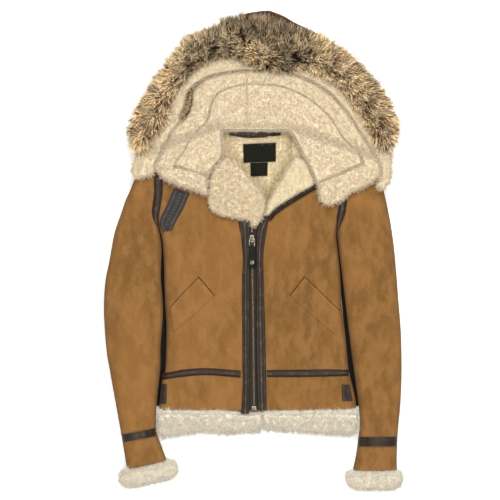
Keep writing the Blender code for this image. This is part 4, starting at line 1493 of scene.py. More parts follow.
sew("back_skin", "back", BACK, hollowed(back_low), level(BACK_TOP - 1.5), NECK_SKIN, SUEDE,
    along=44, across=spread(0.05, 0.05, 26), belly=1.0, relief=lambda x, y: curls(x, y, 7, 1.0))
for side, text, across in (("right", FRONT_RIGHT, spread(0.09, 0.02, 40)),
                           ("left", FRONT_LEFT, spread(0.02, 0.09, 40))):
    sew(f"front_skin_{side}", f"front_{side}", text, level(FRONT_LOW), front_top, SUEDE, along=88,
        across=across)
SLEEVE_TOPS = {}
for side, text in (("right", SLEEVE_RIGHT), ("left", SLEEVE_LEFT)):
    upper_face, lower_face = sleeve_faces(text)
    SLEEVE_TOPS[side] = uneven(upper_face)
    sew(f"sleeve_skin_{side}", f"sleeve_{side}_top", text, level(SLEEVE_PARTING + SEAM),
        SLEEVE_TOPS[side], SUEDE, along=92, across=spread(0.24, 0.24, 18, 8))
    sew(f"under_sleeve_{side}", f"sleeve_{side}_under", text, hollowed(lower_face),
        level(SLEEVE_PARTING), SUEDE, along=70, across=spread(0.22, 0.22, 10, 5), belly=1.0)
for side, text, ends in (("right", HOOD_RIGHT, (5, 0)), ("left", HOOD_LEFT, (0, 5))):
    sew(f"hood_skin_{side}", f"hood_{side}", text, level(0), level(HOOD_TOP), HOOD_SUEDE, along=30,
        across=spread(0.02, 0.03, 28), edges=(3, 6), ends=ends, belly=0.2, profile=edge_shade_ramp)
sew("crown_strip", "hood_crown_strip", HOOD_CROWN_STRIP, level(0), level(HOOD_TOP + 0.2),
    LEATHER_BROWN, slot="leather_trim", along=30, across=spread(0.15, 0.15, 3), edges=(2, 2),
    ends=(0, 5))


# Wool: collar, lapels, hood facings, hem and cuffs

WOOL_INSET = 2.5           # how much lower a wool piece's body is than its fibres' tips


def outwards(y, up, down):
    """A lean towards the hood above a line across the jacket, and away from it below the line."""
    return lambda place: np.stack([np.zeros(len(place)), np.where(place[:, 1] > y, up, down)], -1)


def leaning_up(slope):
    """A lean towards the hood everywhere."""
    return lambda place: np.stack([np.zeros(len(place)), np.full(len(place), slope)], -1)


def beside_suede(centre, normal):
    """The hem's faces next to the fronts' lower edge."""
    return (centre[:, 1] > FRINGE_START).astype(float)


def fleece(name, node, text, low, high, material, fibres, density, length, seed, lean=None,
           curl=6.0, lump=0.8, nap=0.38, keep=seen_side, slot="wool", **shape):
    """A woolly piece: its body a little smaller than the solid, and fibres out to the solid.

    curl is the size of the body's curls and lump their height.
    """
    def body_top(x, y):
        return high(x, y) - WOOL_INSET

    sew(name, node, text, low, body_top, material, slot=slot,
        relief=lambda x, y: curls(x, y, curl, lump, seed), **shape)
    wool(f"{name}_fibres", name, fibres, density, length, 1.1, lean, nap, loose=0.48, seed=seed,
         keep=keep)


collar_high = lifted(collar_low, COLLAR_PILE)
for number, (side, field, border) in enumerate((
        ("right", COLLAR_FIELD_RIGHT, COLLAR_BORDER_RIGHT),
        ("left", COLLAR_FIELD_LEFT, COLLAR_BORDER_LEFT))):
    fleece(f"collar_edge_{side}", f"collar_border_{side}", border, collar_low, collar_high,
           WOOL_SKIN, WOOL, density=0.3, length=8.0, seed=20 + number, along=90,
           across=spread(0.3, 0.06, 12, 6), edges=(12, 2.5), ends=(8, 0), belly=0.35)
    fleece(f"collar_leaf_{side}", f"collar_field_{side}", field, collar_low, collar_high,
           WOOL_SKIN, WOOL, density=0.275, length=8.0, seed=30 + number, along=66,
           across=spread(0.03, 0.03, 38), edges=(2.5, 2.5), ends=(3, 0), belly=0.35)

lapel_low = level(FRONT_EDGE + FRONT_CROWN + 0.6)
fleece("wind_flap", "lapel_right", LAPEL_RIGHT, lapel_low, lifted(lapel_low, 13.5), CURLY_SKIN,
       CURLY, density=0.375, length=6.0, seed=41, curl=5.0, lump=2.2, nap=0.9,
       slot="curly_wool", along=60, across=spread(0.16, 0.16, 34), edges=(12, 12), ends=(4, 6),
       belly=0.3)
fleece("turned_front", "lapel_left", LAPEL_LEFT, lapel_low, lifted(lapel_low, 12.5), NECK_SKIN,
       TURNED_WOOL, density=0.25, length=5.0, seed=42, along=50, across=spread(0.2, 0.1, 22),
       edges=(10, 4), ends=(4, 6), belly=0.3)
facing_high = lifted(facing_low, COLLAR_PILE)
for number, (side, text) in enumerate((("right", HOOD_FACING_RIGHT), ("left", HOOD_FACING_LEFT))):
    fleece(f"hood_band_{side}", f"hood_facing_{side}", text, facing_low, facing_high, WOOL_SKIN,
           WOOL, density=0.275, length=8.0, seed=50 + number, along=84,
           across=spread(0.28, 0.28, 8, 6), edges=(9, 9), ends=(8, 8), belly=0.3)
hem_high = level(FRONT_LOW + HEM_PILE)
HEM_PARTING = -348.0       # the y where the hem's wool parts upwards and downwards
FRINGE_START = -345.0      # the y above which its fringe lies on the suede
for number, (side, text) in enumerate((("right", HEM_RIGHT), ("left", HEM_LEFT))):
    fleece(f"hem_{side}", f"hem_wool_{side}", text, level(FRONT_LOW), hem_high, HEM_SKIN, HEM_WOOL,
           density=0.5, length=8.5, seed=60 + number, lean=outwards(HEM_PARTING, 0.8, -0.5),
           curl=9.0, lump=2.2, nap=0.6, along=84, across=spread(0.3, 0.3, 14, 6), edges=(16, 6),
           ends=(9, 9), belly=0.25)
    wool(f"hem_{side}_fringe", f"hem_{side}", HEM_WOOL, density=1.2, length=6.5, width=1.1,
         lean=leaning_up(1.0), nap=0.9, tuft=8.0, seed=64 + number, keep=beside_suede)
fleece("hem_back", "hem_wool_back", HEM_BACK, level(0), level(BACK_TOP), HEM_SKIN, HEM_WOOL,
       density=0.175, length=6.0, seed=63, curl=8.0, along=60, across=spread(0.3, 0.3, 6, 4),
       edges=(9, 5), ends=(9, 9), belly=0.6)
CUFF_MIDDLE = CUFF_TOP / 2
CUFF_FRINGE = {"right": (-412.0, 0.227), "left": (-473.0, 0.0)}


def sideways(centre, normal):
    """Faces that look more to the side than up or down."""
    return (np.abs(normal[:, 2]) < 0.75).astype(float)


def near_sleeve(side):
    """The part of a cuff next to the sleeve: above a line with a height and a slope."""
    height, slope = CUFF_FRINGE[side]
    return lambda centre, normal: ((centre[:, 1] > height + slope * centre[:, 0])
                                   & (normal[:, 2] > -0.1)).astype(float)


for number, (side, text) in enumerate((("right", CUFF_RIGHT), ("left", CUFF_LEFT))):
    fleece(f"cuff_{side}", f"cuff_wool_{side}_top", text, level(CUFF_MIDDLE + SEAM),
           level(CUFF_TOP + SEAM), HEM_SKIN, HEM_WOOL, density=0.5, length=6.5,
           seed=70 + number, lump=0.9, nap=0.5, along=34, across=spread(0.22, 0.22, 34, 6),
           edges=(24, 24), ends=(12, 20))
    wool(f"cuff_{side}_fringe", f"cuff_{side}", HEM_WOOL, density=0.55, length=8.0, width=1.0,
         lean=leaning_up(0.8), nap=1.0, tuft=9.0, seed=74 + number, keep=near_sleeve(side))
    fleece(f"cuff_under_{side}", f"cuff_wool_{side}_under", text, level(0),
           level(CUFF_MIDDLE + WOOL_INSET), HEM_SKIN, HEM_WOOL, density=0.25, length=5.0,
           seed=72 + number, lump=0.0, keep=sideways, along=16,
           across=spread(0.22, 0.22, 12, 5), edges=(24, 24), ends=(12, 20), belly=1.0)


# Places on the jacket as seen from above: the middle in x and y, half the width, half the height
NECK_AREA = 8, 174, 82, 84
MAIN_LABEL_AREA = 14, 206, 36, 21
SIZE_LABEL_AREA = 13, 171, 19, 16
HOOD_GAP_AREA = -135, 306.5, 23, 38.5


def within(centre, area):
    """True for the places that lie in an area."""
    middle_x, middle_y, half_width, half_height = area
    return ((np.abs(centre[:, 0] - middle_x) < half_width)
            & (np.abs(centre[:, 1] - middle_y) < half_height))


def in_neck(centre, normal):
    """The back's wool inside the neck, but for what the labels cover."""
    on_label = within(centre, MAIN_LABEL_AREA) | within(centre, SIZE_LABEL_AREA)
    return ((normal[:, 2] > 0.3) & within(centre, NECK_AREA) & ~on_label).astype(float)


wool("back_skin_fibres", "back_skin", NECK_WOOL, density=0.3, length=6.0, width=1.1, seed=81,
     keep=in_neck)


def wool_at_neck(name, inside, bare, seed):
    """Turns the part of a front that shows inside the neck to its woolly side.

    In the bare part, that a turned-back lapel hides from above, it has no loose fibres.
    """
    found = PIECES[name]
    centre = found["points"][found["faces"]].mean(axis=1)
    slots = np.zeros(len(centre), np.int32)
    x, y = centre[:, 0], centre[:, 1]
    slots[inside(x, y) | bare(x, y)] = 1
    found["thing"].data.materials[1] = NECK_SKIN
    found["thing"].data.polygons.foreach_set("material_index", slots)
    wool(f"{name}_fibres", name, NECK_WOOL, density=0.4, length=6.0, seed=seed, nap=0.7,
         keep=lambda c, normal: (inside(c[:, 0], c[:, 1]) & (normal[:, 2] > 0.3)).astype(float))


# On each front, the woolly part inside the neck and the bare part under the lapel
wool_at_neck("front_skin_right", lambda x, y: (y > 150) & (x > -106),
             lambda x, y: (y > 110) & (x > -60), 82)
wool_at_neck("front_skin_left", lambda x, y: (y > 146) & (x < 120),
             lambda x, y: (y > 80 + 0.69 * (x - 34)) & (x < 125), 83)


# Fur round the hood's opening

RUFF_BODY = (0.27, 0.96)   # the part of the ruff's width that its skin covers
RUFF_BASE = HOOD_TOP + SEAM
RUFF_ROLL = 22.0           # how high its skin rises over its base
RUFF_GRID = (150, 18)
HAIRS = 14000              # on each of the three stretches of the ruff
LOCK = 7.5                 # how wide a lock of hair is


def ruff_place(along, across):
    """A point of the ruff in plan, at places from 0 to 1 along it and across it, and its frame."""
    dense = sections(RUFF, 400)
    share = dense["along"] / dense["length"]
    ax, ay, bx, by = (np.interp(along, share, dense[name]) for name in ("ax", "ay", "bx", "by"))
    x, y = ax + across * (bx - ax), ay + across * (by - ay)
    width = np.hypot(ax - bx, ay - by)
    outward = np.stack([(ax - bx) / width, (ay - by) / width], -1)
    return x, y, width, outward


def ruff_faces():
    """The ruff's skin: half an ellipse across it, over a flat underside, drawn in at both ends."""
    along = np.linspace(0.012, 0.988, RUFF_GRID[0])[:, None]
    across = np.linspace(*RUFF_BODY, RUFF_GRID[1])[None]
    x, y, _, _ = ruff_place(*(np.broadcast_to(place, RUFF_GRID) for place in (along, across)))
    share = (across - RUFF_BODY[0]) / (RUFF_BODY[1] - RUFF_BODY[0])
    crown = np.sqrt(np.clip(1 - (2 * share - 1) ** 2, 0.02, 1)) * np.sqrt(
        np.clip(1 - (2 * along - 1) ** 20, 0.02, 1))
    bumps = 1.5 * lattice_noise(x, y, 14, 90)
    return (np.stack([x, y, RUFF_BASE + 1 + crown * RUFF_ROLL + bumps], -1),
            np.stack([x, y, np.full_like(x, RUFF_BASE)], -1))


ruff_top, ruff_under = ruff_faces()
points, faces, uv, _ = closed_body(ruff_top, ruff_under)
ruff_skin = mesh_object("ruff_skin", points, faces, uv, [FUR_SKIN])
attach(ruff_skin, "jacket")
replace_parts(ruff_skin, "fur_ruff")


def fur(name, count, low, high, seed):
    """Long hairs on one stretch of the ruff, from a low to a high place along it.

    Each leans out over the hood's edge, less and less towards the inner edge, where it leans in,
    and both ends of the ruff sweep down. Hairs of one lock share a direction and nearly a tip.
    A hair ends near the ruff's outline, and one in three strays a little past it.
    """
    rng = np.random.default_rng(seed)
    along = rng.uniform(low, high, count)
    share = rng.random(count) ** 0.9
    across = RUFF_BODY[0] + (RUFF_BODY[1] - RUFF_BODY[0]) * share
    x, y, width, outward = ruff_place(along, across)
    crown = np.sqrt(np.clip(1 - (2 * share - 1) ** 2, 0.0, 1))
    root = np.stack([x, y, RUFF_BASE + crown * RUFF_ROLL], -1)
    pull, number, centre = tuft_of(root, LOCK, seed)

    # The way each hair points
    lean = np.interp(share, [0, 0.5, 0.75, 0.9, 1], [1.0, 0.75, 0.2, -0.5, -0.9])
    rise = np.interp(share, [0, 0.3, 0.7, 1], [0.10, 0.45, 0.8, 0.35])
    sweep = np.interp(along, [0, 0.3, 0.5, 0.7, 1], [0.6, 0.3, 0.0, -0.3, -0.6])
    tangent = np.stack([outward[:, 1], -outward[:, 0]], -1)
    flat = outward * lean[:, None] - tangent * sweep[:, None] + 0.6 * pull
    direction = np.concatenate([flat, rise[:, None]], axis=1)
    direction += rng.normal(0, 0.16, direction.shape)
    direction /= np.linalg.norm(direction, axis=1, keepdims=True)

    # Its length, which leaves it inside the outline unless it strays
    across_run = (direction[:, :2] * outward).sum(axis=1)
    at_crown = np.exp(-((along - 0.49) / 0.08) ** 2)
    room = np.where(across_run > 0, across * width + 5 * at_crown, (1 - across) * width + 8)
    limit = room / np.maximum(np.abs(across_run), 0.12) * rng.uniform(0.65, 1.0, count)
    limit *= 0.8 + 0.36 * number
    stray = np.where(rng.random(count) < 1 / 3, rng.uniform(1, 13, count), 0.0)
    length = np.clip(np.minimum(rng.uniform(22, 44, count), limit + stray), 9, 48)

    # Its tip, drawn towards that of its lock, and its bend
    tip = root + direction * length[:, None]
    gather = rng.uniform(0.45, 0.9, (count, 1)) * (stray == 0)[:, None]
    shared = centre + direction[:, :2] * length[:, None]
    tip[:, :2] += gather * (shared - tip[:, :2])
    tip[:, 2] = np.clip(tip[:, 2], 5, RUFF_BASE + RUFF_PILE + 1)
    middle = (root + tip) / 2
    middle[:, 2] += length * rng.uniform(0.0, 0.14, count)
    middle[:, :2] += rng.normal(0, 0.05, (count, 2)) * length[:, None]

    # Its thickness and shade: darker over the crown and inwards, with pale hair at some inner edges
    bold = (rng.random(count) < 0.25) & (stray == 0)
    thick = np.where(bold, rng.uniform(1.6, 2.3, count), rng.uniform(0.8, 1.3, count))
    shade = number + np.interp(along, [0, 0.3, 0.4, 0.6, 0.7, 1],
                               [0.75, 0.45, -0.35, -0.35, 0.35, 0.5])
    shade += np.interp(share, [0, 0.3, 0.65, 0.9], [0.5, 0.1, -0.25, -0.4])
    shade += at_crown * np.interp(share, [0.35, 0.5, 0.6, 1.0], [-0.1, -0.5, 0.9, 1.2])
    shade += 1.0 * ((share > 0.82) & (along > 0.6))
    return strands(name, root, middle, tip, thick, rng.random(count),
                   np.stack([np.clip(shade, -0.05, 1.7), share], -1), FUR)


FURS = [fur(f"fur_{where}", HAIRS, low, high, 100 + k) for k, (where, low, high) in enumerate(
    (("right", 0.0, 0.34), ("top", 0.33, 0.67), ("left", 0.66, 1.0)))]


def in_gap(centre, normal):
    """The part of the hood's back that shows between the collar and the hood's facing."""
    return ((normal[:, 2] > 0.5) & within(centre, HOOD_GAP_AREA)).astype(float)


wool("hood_skin_right_fibres", "hood_skin_right", FUR, density=0.45, length=9.0, width=1.0,
     seed=84, keep=in_gap)


def hair_from_gap(name, text, count, shortest, longest, seed):
    """Brown hair that comes out between the collar and the hood's facing and lies on the facing.

    The table holds places along the gap. The hair is longest at its middle. Where it is very short,
    it draws a painted shadow line along the seam.
    """
    rng = np.random.default_rng(seed)
    gap = np.stack(list(table(text).values()), -1)
    step = np.hypot(*np.diff(gap, axis=0).T)
    run = np.concatenate([[0.0], np.cumsum(step)])
    at = rng.uniform(0, run[-1], count)
    full = np.sin(math.pi * np.clip(at / run[-1], 0.05, 1) ** 1.4)
    x, y = (np.interp(at, run, gap[:, k]) + rng.normal(0, 1.0, count) for k in (0, 1))
    root = np.stack([x, y, np.full(count, HOOD_TOP + 12.0)], -1)
    length = (shortest + (longest - shortest) * full) * rng.uniform(0.6, 1.1, count)
    way = np.stack([-0.75 + 0.2 * rng.normal(size=count), -0.45 + 0.25 * rng.normal(size=count),
                    0.42 + 0.1 * rng.normal(size=count)], -1)
    tip = root + way * length[:, None]
    tip[:, 2] += 6.0
    middle = (root + tip) / 2 + np.array([0, 0, 3.0])
    return strands(name, root, middle, tip, rng.uniform(0.7, 1.3, count), rng.random(count),
                   np.stack([rng.random(count) * 0.6 + 0.2, full], -1), FUR)


hair_from_gap("gap_hair", GAP_OPEN, count=900, shortest=5, longest=18, seed=85)
# Short dark hairs along the two closed lengths: a painted shadow line in the seam.
hair_from_gap("gap_shade_line_right", GAP_RIGHT, count=150, shortest=0.8, longest=2.0, seed=86)
hair_from_gap("gap_shade_line_left", GAP_LEFT, count=90, shortest=0.8, longest=1.8, seed=87)


# Leather trims

def over_seam(side):
    """The higher of front and sleeve beside an armhole seam, and no lower than its valley."""
    return lambda x, y: np.maximum(np.maximum(front_top(x, y), SLEEVE_TOPS[side](x, y)),
                                   SEAM_VALLEY)


def ridges(across):
    """A facing's three lengthwise ridges: a stitched fold at each edge and a padded one between."""
    return (1.5 * np.exp(-((across - 0.15) / 0.09) ** 2)
            + 1.7 * np.exp(-((across - 0.5) / 0.13) ** 2)
            + 1.5 * np.exp(-((across - 0.86) / 0.09) ** 2))


def soft_crown(across):
    """A narrow strap's section, padded along its middle."""
    return 2.2 * (4 * across * (1 - across)) ** 1.2


def strap_section(across):
    """A strap with a ridge inside each edge, where the leather takes its painted highlight, and a
    flat middle.
    """
    ridge_pair = np.exp(-((across - 0.2) / 0.07) ** 2) + np.exp(-((across - 0.8) / 0.07) ** 2)
    return 0.9 * ridge_pair + 0.3


def welt_section(across):
    """A pocket's welt, that lies close to the front at edge A and stands up towards edge B."""
    return 0.3 + 2.3 * across**2


# How far each kind of trim lies over the face below it, and its thickness without its crown
FACING = 0.5, 1.6
STRIP = 0.5, 1.4
SIDE_STRIP = 0.0, 2.2
SIDE_TAB = 0.8, 2.0
STRAP = 0.6, 1.6
TURNED_EDGE = 0.0, 4.2
WELT = 0.3, 0.7
HANGER = 0.0, 1.8


def trim(name, text, face, heights, material, along, profile=soft_crown, node=None,
         slot="leather_trim"):
    """A strip of leather on a face: its underside follows the face and its top is crowned."""
    lift, thick = heights
    sew(f"{name}_leather", node or name, text, lifted(face, lift), lifted(face, lift + thick),
        material, slot=slot, along=along, across=spread(0.1, 0.1, 13, 3), edges=(1.2, 1.2),
        profile=profile)


trim("zip_facing_right", ZIP_FACING_RIGHT, front_top, FACING, LEATHER_BROWN, 130, ridges)
trim("zip_facing_left", ZIP_FACING_LEFT, front_top, FACING, LEATHER_BROWN, 130, ridges)
trim("waist_strip_right", WAIST_RIGHT, front_top, STRIP, STRIP_LEATHER, 70)
trim("waist_strip_left", WAIST_LEFT, front_top, STRIP, STRIP_LEATHER, 70)
trim("armhole_strip_right", ARMHOLE_RIGHT, over_seam("right"), STRIP, STRIP_LEATHER, 50)
trim("armhole_strip_left", ARMHOLE_LEFT, over_seam("left"), STRIP, STRIP_LEATHER, 40)
trim("cuff_strip_right", CUFF_STRIP_RIGHT, SLEEVE_TOPS["right"], STRIP, STRIP_LEATHER, 12)
trim("cuff_strip_left", CUFF_STRIP_LEFT, SLEEVE_TOPS["left"], STRIP, STRIP_LEATHER, 12)
# The side strips are near-black: painted shade of the gap between each sleeve and the body.
trim("side_strip_right", SIDE_STRIP_RIGHT, level(0), SIDE_STRIP, GAP_SHADE_LEATHER, 50, None)
trim("side_strip_left", SIDE_STRIP_LEFT, level(0), SIDE_STRIP, GAP_SHADE_LEATHER, 50, None)

# The backing is a near-black sheet of painted shade; these are the heights of its two faces above
# the floor.
BACKING = 5.0, 3.0         # heights above the floor of a backing tape's two sides


def gap_shade_sheet(name, text):
    """A flat near-black sheet under an armhole's seam: painted shade, seen where the seam gapes."""
    rows = sections(text, 40)
    s = np.linspace(0, 1, 4)[None]
    x = rows["ax"][:, None] * (1 - s) + rows["bx"][:, None] * s
    y = rows["ay"][:, None] * (1 - s) + rows["by"][:, None] * s
    top, under = (np.stack([x, y, np.full_like(x, height)], -1) for height in BACKING)
    points, faces, uv, _ = closed_body(top, under)
    tape = mesh_object(name, points, faces, uv, [GAP_SHADE_LEATHER])
    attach(tape, "jacket")


gap_shade_sheet("seam_backing_right", GAP_SHADE_RIGHT)
gap_shade_sheet("seam_backing_left", GAP_SHADE_LEFT)
trim("side_tab_right", SIDE_TAB_RIGHT, front_top, SIDE_TAB, LEATHER_BROWN, 20, None)
trim("side_tab_left", SIDE_TAB_LEFT, front_top, SIDE_TAB, LEATHER_BROWN, 20, None)
trim("collar_strap", COLLAR_STRAP, front_top, STRAP, STRAP_LEATHER, 60, strap_section)
trim("turned_edge", LAPEL_LEFT_EDGE, lapel_low, TURNED_EDGE, STRIP_LEATHER, 50, ridges,
     "lapel_left_edge")
trim("pocket_welt_right", POCKET_RIGHT, front_top, WELT, SUEDE, 70, welt_section, slot="suede")
trim("pocket_welt_left", POCKET_LEFT, front_top, WELT, SUEDE, 70, welt_section, slot="suede")
trim("hanger", HANGER_LOOP, level(BACK_TOP + SEAM), HANGER, LEATHER_BROWN, 60, ridges,
     "hanger_loop", "black_cloth")
for name, text in (("neck_label", NECK_LABEL), ("size_label", SIZE_LABEL)):
    sew(f"{name}_cloth", name, text, level(BACK_TOP + SEAM), level(BACK_TOP + SEAM + LABEL),
        BLACK_CLOTH, slot="black_cloth", along=20, across=np.linspace(0, 1, 20),
        relief=lambda x, y: 0.5 * lattice_noise(x, y, 12, 77))


# Zip

sew("tape", "zip_tape", ZIP_TAPE, level(TAPE_TOP - TAPE), level(TAPE_TOP), TAPE_CLOTH,
    slot="black_cloth", along=60, across=np.linspace(0, 1, 8))


# The six faces of a block: its four lower points come first, then the four above them
BOX = np.array([[3, 2, 1, 0], [4, 5, 6, 7], [0, 1, 5, 4], [1, 2, 6, 5], [2, 3, 7, 6], [3, 0, 4, 7]])


# A tooth's lower and upper points, in the order of a block's
TOOTH = np.array([[-0.9, -0.75, 0], [2.5, -0.75, 0], [2.5, 0.75, 0], [-0.9, 0.75, 0],
                  [-0.7, -0.6, 2.6], [2.2, -0.5, 2.6], [2.2, 0.5, 2.6], [-0.7, 0.6, 2.6]])
CLOSED_STRETCH = 14, -326  # from one y to another
OPEN_STRETCH = 52, 38


def zip_teeth(name, start, end, material, apart=0.0):
    """Teeth from one y to another: two columns of small blocks on the chain's centre line.

    They interlock where they are closed, and stand apart from the line where they are open.
    """
    chain = sections(ZIP_CHAIN, 200)
    centre = (chain["ax"] + chain["bx"]) / 2, (chain["ay"] + chain["by"]) / 2
    at_y = np.arange(start, end, -TOOTH_PITCH / 2)
    at_x = np.interp(at_y, centre[1][::-1], centre[0][::-1])
    side = np.where(np.arange(len(at_y)) % 2 == 0, -1.0, 1.0)
    at_x = at_x - apart * side
    points = np.stack([at_x[:, None] + TOOTH[:, 0] * side[:, None],
                       at_y[:, None] + TOOTH[:, 1] * side[:, None],
                       np.broadcast_to(TAPE_TOP + 0.3 + TOOTH[:, 2], (len(at_y), 8))], -1)
    faces = (BOX[None] + 8 * np.arange(len(at_y))[:, None, None]).reshape(-1, 4)
    flat = points.reshape(-1, 3)
    thing = mesh_object(name, flat, faces, flat[:, :2] * MM, [material], sharp=30)
    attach(thing, "jacket")
    return thing


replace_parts(zip_teeth("zip_teeth", *CLOSED_STRETCH, DARK_BRASS), "zip_chain")
zip_teeth("open_teeth", *OPEN_STRETCH, BRASS, apart=1.2)
for node, material in (("zip_slider", BRASS), ("zip_box", BRASS), ("pull_link", BRASS),
                       ("pull_eyelet", BRASS), ("pull_tab", TAB_LEATHER)):
    for material_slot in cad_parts[node].material_slots:
        material_slot.material = material


# Sewing

def seam_line(piece, across, first=0.0, last=1.0):
    """Points along a piece's upper face, at one place across it."""
    grid = PIECES[piece]["upper"]
    rows = np.linspace(first * (len(grid) - 1), last * (len(grid) - 1), 200)
    low_row = np.clip(rows.astype(int), 0, len(grid) - 2)
    blend_row = (rows - low_row)[:, None]
    columns = across * (grid.shape[1] - 1)
    column = int(min(columns, grid.shape[1] - 2))
    side = columns - column
    line = grid[:, column] * (1 - side) + grid[:, column + 1] * side
    return line[low_row] * (1 - blend_row) + line[low_row + 1] * blend_row


def cross_line(piece, row, first=0.0, last=1.0):
    """Points across a piece's upper face, at one of its sections, with a start and an end."""
    grid = PIECES[piece]["upper"][row]
    places = np.linspace(first, last, 60) * (len(grid) - 1)
    return np.stack([np.interp(places, np.arange(len(grid)), grid[:, k]) for k in range(3)], -1)


# A stitch in its own measures: places along it, to its side and upwards
GRAIN_ALONG = np.array([-0.5, -0.32, -0.32, -0.32, -0.32, 0.32, 0.32, 0.32, 0.32, 0.5])
GRAIN_ASIDE = np.array([0, -1, 0, 1, 0, -1, 0, 1, 0, 0])
GRAIN_UP = np.array([-0.1, 0, -0.6, 0, 1, 0, -0.6, 0, 1, -0.1])
GRAIN_FACES = np.array([[2, 1, 0], [3, 2, 0], [4, 3, 0], [1, 4, 0], [6, 5, 1], [2, 6, 1],
                        [7, 6, 2], [3, 7, 2], [8, 7, 3], [4, 8, 3], [5, 8, 4], [1, 5, 4],
                        [6, 9, 5], [7, 9, 6], [8, 9, 7], [5, 9, 8]])


def stitches(name, lines, pitch, length, width, material):
    """Stitches as small grains, four sided and pointed at both ends, spaced evenly along lines."""
    centres, runs = [], []
    for line in lines:
        step = np.linalg.norm(np.diff(line, axis=0), axis=1)
        at = np.concatenate([[0.0], np.cumsum(step)])
        wanted = np.arange(pitch / 2, at[-1], pitch)
        centre = np.stack([np.interp(wanted, at, line[:, k]) for k in range(3)], -1)
        ahead = np.stack([np.interp(wanted + 0.5, at, line[:, k]) for k in range(3)], -1)
        behind = np.stack([np.interp(wanted - 0.5, at, line[:, k]) for k in range(3)], -1)
        run = ahead - behind
        centres.append(centre)
        runs.append(run / (np.linalg.norm(run, axis=1, keepdims=True) + 1e-9))
    centre, run = np.concatenate(centres), np.concatenate(runs)
    aside = np.cross(run, [0, 0, 1.0])
    aside /= np.linalg.norm(aside, axis=1, keepdims=True) + 1e-9
    up = np.cross(aside, run)
    along, beside, upward = GRAIN_ALONG * length, GRAIN_ASIDE * width / 2, GRAIN_UP * width / 2
    points = (centre[:, None] + along[:, None] * run[:, None] + beside[:, None] * aside[:, None]
              + (upward + 0.1)[:, None] * up[:, None])
    faces = (GRAIN_FACES[None] + 10 * np.arange(len(centre))[:, None, None]).reshape(-1, 3)
    flat = points.reshape(-1, 3)
    thing = mesh_object(name, flat, faces, flat[:, :2] * MM, [material], sharp=0)
    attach(thing, "jacket")


stitches("facing_stitches", [seam_line(f"zip_facing_{side}_leather", place) for side in
                             ("left", "right") for place in (0.3, 0.72)],
         pitch=3.2, length=2.3, width=0.55, material=DARK_THREAD)
stitches("strip_stitches", [seam_line(f"{strip}_leather", place) for strip in
                            ("waist_strip_left", "waist_strip_right", "armhole_strip_left",
                             "armhole_strip_right", "cuff_strip_left", "cuff_strip_right")
                            for place in (0.16, 0.84)],
         pitch=3.2, length=2.3, width=0.55, material=DARK_THREAD)
stitches("strap_stitches", [seam_line("collar_strap_leather", place, 0.02, 0.97) for place in
                            (0.2, 0.8)],
         pitch=3.4, length=2.8, width=0.9, material=PALE_THREAD)
WELTS = ("pocket_welt_left_leather", "pocket_welt_right_leather")
stitches("pocket_stitches", [seam_line(welt, 0.9, 0.03, 1.0) for welt in WELTS]
         + [cross_line(welt, row, 0.04, 0.96) for welt in WELTS for row in (3, 6)],
         pitch=3.0, length=2.2, width=0.6, material=TAN_THREAD)
# Painted shadow: a dark line of close stitches along each welt's standing edge and one short end.
stitches("pocket_welt_shadows", [seam_line(welt, 1.0) for welt in WELTS]
         + [cross_line(welt, 0) for welt in WELTS],
         pitch=2.0, length=2.6, width=1.5, material=WELT_SHADOW_LINE)
stitches("tab_stitches", [seam_line(f"side_tab_{side}_leather", place, 0.08, 0.92) for side in
                          ("left", "right") for place in (0.22, 0.78)],
         pitch=3.0, length=2.2, width=0.7, material=PALE_THREAD)


def embossing():
    """Blank oblongs pressed up out of the strap's middle."""
    line = seam_line("collar_strap_leather", 0.5, 0.06, 0.93)
    beside = seam_line("collar_strap_leather", 0.62, 0.06, 0.93)
    picked = np.arange(8, 192, 17)
    centre = line[picked]
    run = line[picked + 5] - line[picked - 5]
    run /= np.linalg.norm(run, axis=1, keepdims=True)
    aside = beside[picked] - centre
    aside /= np.linalg.norm(aside, axis=1, keepdims=True)
    corner = np.array([[-1, -1, 0], [1, -1, 0], [1, 1, 0], [-1, 1, 0]], float)
    both = np.concatenate([corner, corner * (0.75, 0.85, 0) + (0, 0, 1)])
    points = (centre[:, None] + both[:, :1] * 2.2 * run[:, None]
              + both[:, 1:2] * 3.6 * aside[:, None] + (both[:, 2:] - 0.4) * np.array([0, 0, 1.0]))
    box = BOX if np.cross(run[0], aside[0])[2] > 0 else BOX[:, ::-1]
    faces = (box[None] + 8 * np.arange(len(centre))[:, None, None]).reshape(-1, 4)
    flat = points.reshape(-1, 3)
    thing = mesh_object("strap_embossing", flat, faces, flat[:, :2] * MM, [RELIEF_LEATHER],
                        sharp=30)
    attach(thing, "jacket")


embossing()


# The width across each cut piece, worked out here and then not used

NARROWEST_SHEET = 0.01     # in metres
BANDS = "tape", "hanger_leather"    # made to their width, and not cut from a sheet

for name, found in PIECES.items():
    if name in BANDS:
        continue
    grid = found["upper"]
    cut_width = np.linalg.norm(np.diff(grid, axis=1), axis=-1).sum(axis=1).max() * MM
    if cut_width < NARROWEST_SHEET:
        continue


# Floor, light and camera

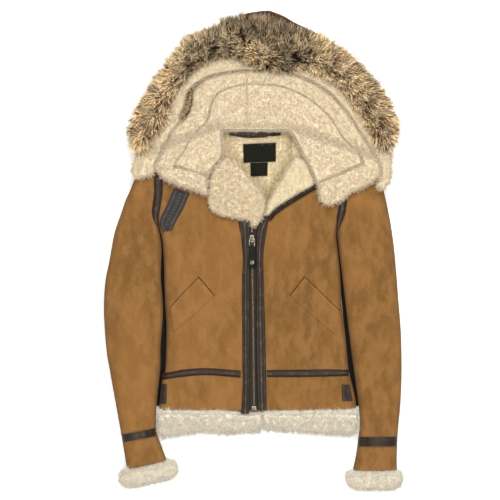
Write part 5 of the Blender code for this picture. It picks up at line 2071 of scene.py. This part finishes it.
FLOOR_GLOW = 0.36          # the photograph's floor is a pure white
FLOOR_HALF = 4000.0
FLOOR_LEVEL = -0.5
WORLD_STRENGTH = 0.28
floor_material, floor_tree, floor_shader = new_material("floor", Roughness=0.9,
                                                        Specular_IOR_Level=0.1)
floor_cloud = noise(floor_tree, add_node(floor_tree, "ShaderNodeTexCoord").outputs["Object"], 0.6)
floor_white = colour_ramp(floor_tree, floor_cloud, [(0.2, (0.93, 0.93, 0.93)),
                                                    (0.8, (0.96, 0.96, 0.96))])
floor_tree.links.new(floor_white, floor_shader.inputs["Base Color"])
floor_tree.links.new(floor_white, floor_shader.inputs["Emission Color"])
floor_shader.inputs["Emission Strength"].default_value = FLOOR_GLOW
floor_points = np.array([[-1, -1, 0], [1, -1, 0], [1, 1, 0], [-1, 1, 0]]) * FLOOR_HALF
floor_points[:, 2] = FLOOR_LEVEL
floor = mesh_object("floor", floor_points, np.array([[0, 1, 2, 3]]), floor_points[:, :2] * MM,
                    [floor_material], sharp=0)


def soft_light(name, x, y, z, size, power):
    """A square area light at a place in metres, turned to face the jacket's middle."""
    light = bpy.data.lights.new(name, "AREA")
    light.size, light.energy = size, power
    thing = bpy.data.objects.new(name, light)
    thing.location = x, y, z
    thing.rotation_euler = math.atan2(math.hypot(x, y), z), 0, math.atan2(y, x) + math.pi / 2
    bpy.context.scene.collection.objects.link(thing)


soft_light("key", 0.2, 1.7, 2.4, 0.9, 50)
soft_light("left", -1.6, -0.2, 2.4, 1.0, 24)
soft_light("right", 1.6, -0.2, 2.4, 1.0, 30)
soft_light("foot", 0.1, -1.8, 2.4, 1.0, 28)
world = bpy.data.worlds.new("studio")
world.use_nodes = True
world.node_tree.nodes["Background"].inputs["Color"].default_value = (1, 1, 1, 1)
world.node_tree.nodes["Background"].inputs["Strength"].default_value = WORLD_STRENGTH
bpy.context.scene.world = world
bpy.context.scene.view_settings.view_transform = "Standard"

CAMERA_DISTANCE = 8.0      # in metres above the floor, straight above
PICTURE_WIDTH = 1.05       # what the picture takes in, at the height of the fronts
FRONTS_HEIGHT = 0.02
PICTURE_MIDDLE = -0.0065, 0.0004
camera = bpy.data.cameras.new("camera")
camera.sensor_width = 36.0
camera.lens = camera.sensor_width * (CAMERA_DISTANCE - FRONTS_HEIGHT) / PICTURE_WIDTH
camera.clip_end = 30
camera_object = bpy.data.objects.new("camera", camera)
camera_object.location = *PICTURE_MIDDLE, CAMERA_DISTANCE
bpy.context.scene.collection.objects.link(camera_object)
bpy.context.scene.camera = camera_object

bpy.context.view_layer.update()
